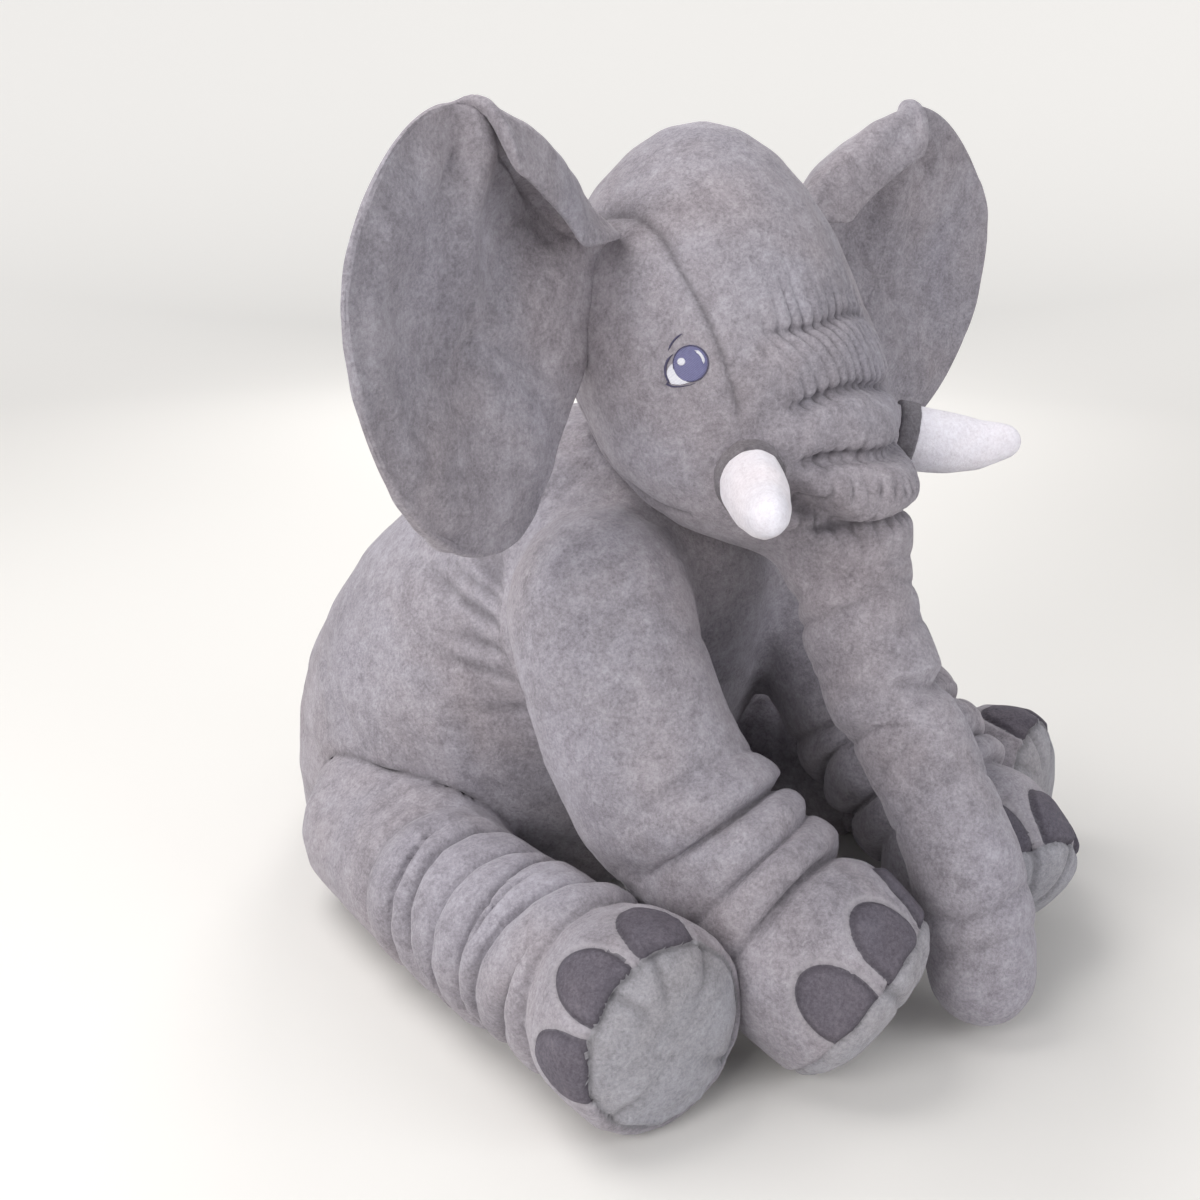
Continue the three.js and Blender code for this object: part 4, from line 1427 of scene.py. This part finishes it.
def shared_normals():
    """Each piece's normals, averaged where pieces meet, so that a seam doesn't show in the shading."""
    everywhere = np.concatenate([piece["points"] for piece in pieces])
    _, same = np.unique(np.round(everywhere * MATCH).astype(np.int64), axis=0, return_inverse=True)
    same = same.ravel()
    normal = np.concatenate([normals_of(piece["points"], piece["faces"]) for piece in pieces])
    shared = np.stack([np.bincount(same, normal[:, a]) for a in range(3)], 1)[same]
    shared /= np.maximum(np.linalg.norm(shared, axis=1), 1e-9)[:, None]
    return np.split(shared, np.cumsum([len(piece["points"]) for piece in pieces])[:-1])


def place_piece(piece, normals):
    obj = make_object(piece["name"], piece["points"], piece["faces"])
    mesh = obj.data
    mesh.normals_split_custom_set_from_vertices(normals.tolist())
    for name in ("painted_shade", "mark"):
        put_values(mesh, name, piece[name])
    rest = mesh.attributes.new("rest", "FLOAT_VECTOR", "POINT")
    rest.data.foreach_set("vector", piece["points"].astype(np.float32).ravel())
    mesh.materials.append(materials[piece["material"]])
    if piece["bend"]:
        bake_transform(obj)
    else:
        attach(obj, piece["body"])
    if len(piece["replaced"]):
        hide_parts(*piece["replaced"])


for piece, normals in zip(pieces, shared_normals()):
    place_piece(piece, normals)

# ---------------------------------------------------------------- studio

centre = (np.array(cad_box[0]) + np.array(cad_box[1])) / 2
FLOOR_EDGE, WALL_START, WALL_CURVE, WALL_TOP = 1.3, 2.4, 1.6, 6.0
FLOOR_LEVEL = -0.0015
WALL_GLOW = 0.5
PALE = (0.80, 0.785, 0.76)


def pale(name, glow):
    """A plain pale surface. With glow it also shines a little, more so further out."""
    n = Nodes(name)
    place = n.add("ShaderNodeNewGeometry").outputs["Position"]
    far = n.add("ShaderNodeVectorMath", {0: place}, operation="LENGTH").outputs["Value"]
    span = {"Value": far, "From Min": FLOOR_EDGE, "From Max": WALL_START + WALL_CURVE, "To Max": glow}
    rise = n.add("ShaderNodeMapRange", span, interpolation_type="SMOOTHSTEP").outputs[0]
    tone = n.ramp(n.noise(3, 4), (0.3, tuple(0.97 * c for c in PALE)), (0.7, PALE))
    n.put(Base_Color=tone, Roughness=0.8, Specular_IOR_Level=0.2, Emission_Color=PALE, Emission_Strength=rise)
    return n.material


def make_ring(name, profile, glow=0.0, turns=96):
    """A round surface from a profile of (radius, height)."""
    angles = np.linspace(0, 2 * math.pi, turns, endpoint=False)
    rows = np.array([[(r * math.cos(a), r * math.sin(a), h) for a in angles] for r, h in profile])
    ring = make_object(name, rows.reshape(-1, 3), grid_faces(len(profile), turns)[:, ::-1])
    ring.data.materials.append(pale(name, glow))
    return ring


def make_studio():
    """A pale floor, and a wall all round it which is only seen, so it takes no light from the object."""
    make_ring("floor", [(radius, FLOOR_LEVEL) for radius in (0.001, 0.7, FLOOR_EDGE)])
    curve = [(WALL_START + WALL_CURVE * math.sin(a), WALL_CURVE * (1 - math.cos(a)) + FLOOR_LEVEL)
             for a in np.linspace(0, math.pi / 2, 16)]
    wall = make_ring(
        "backdrop", [(FLOOR_EDGE, FLOOR_LEVEL), *curve, (WALL_START + WALL_CURVE, WALL_TOP)], WALL_GLOW)
    wall.visible_shadow = wall.visible_diffuse = wall.visible_glossy = False


def add_light(name, place, size, watts, colour):
    lamp = bpy.data.lights.new(name, "AREA")
    lamp.shape, lamp.size, lamp.energy, lamp.color = "DISK", size, watts, colour
    obj = bpy.data.objects.new(name, lamp)
    obj.location = place
    obj.rotation_euler = (Vector(centre) - Vector(place)).to_track_quat("-Z", "Y").to_euler()
    scene.collection.objects.link(obj)


# Name, place, width, watts and colour.
LIGHTS = [
    ("overhead", (-0.7, 0.6, 2.2), 1.7, 31, (1.0, 0.985, 0.97)),
    ("key", (-2.3, -0.6, 1.2), 1.3, 31, (1.0, 0.99, 0.98)),
    ("fill", (0.4, -2.4, 1.0), 1.6, 17, (0.97, 0.98, 1.0)),
    ("rim", (1.8, 1.4, 1.3), 1.0, 22, (1.0, 0.98, 0.96))]

make_studio()
for light in LIGHTS:
    add_light(*light)
world = bpy.data.worlds.new("studio")
world.use_nodes = True
sky = world.node_tree.nodes["Background"].inputs
sky["Color"].default_value = (0.95, 0.955, 0.97, 1)
sky["Strength"].default_value = 0.45
scene.world = world
scene.view_settings.view_transform = "Standard"

CAMERA_FROM_CENTRE = (-0.8743, -0.7529, 0.2995)
CAMERA_YAW = 48.448  # degrees to the right of +Y
CAMERA_PITCH = 17.424  # degrees below the horizon
lens = bpy.data.cameras.new("camera")
lens.sensor_width, lens.lens, lens.clip_start = 36, 46.87, 0.01
camera = bpy.data.objects.new("camera", lens)
camera.location = centre + np.array(CAMERA_FROM_CENTRE)
camera.rotation_euler = (math.radians(90 - CAMERA_PITCH), 0, math.radians(-CAMERA_YAW))
scene.collection.objects.link(camera)
scene.camera = camera
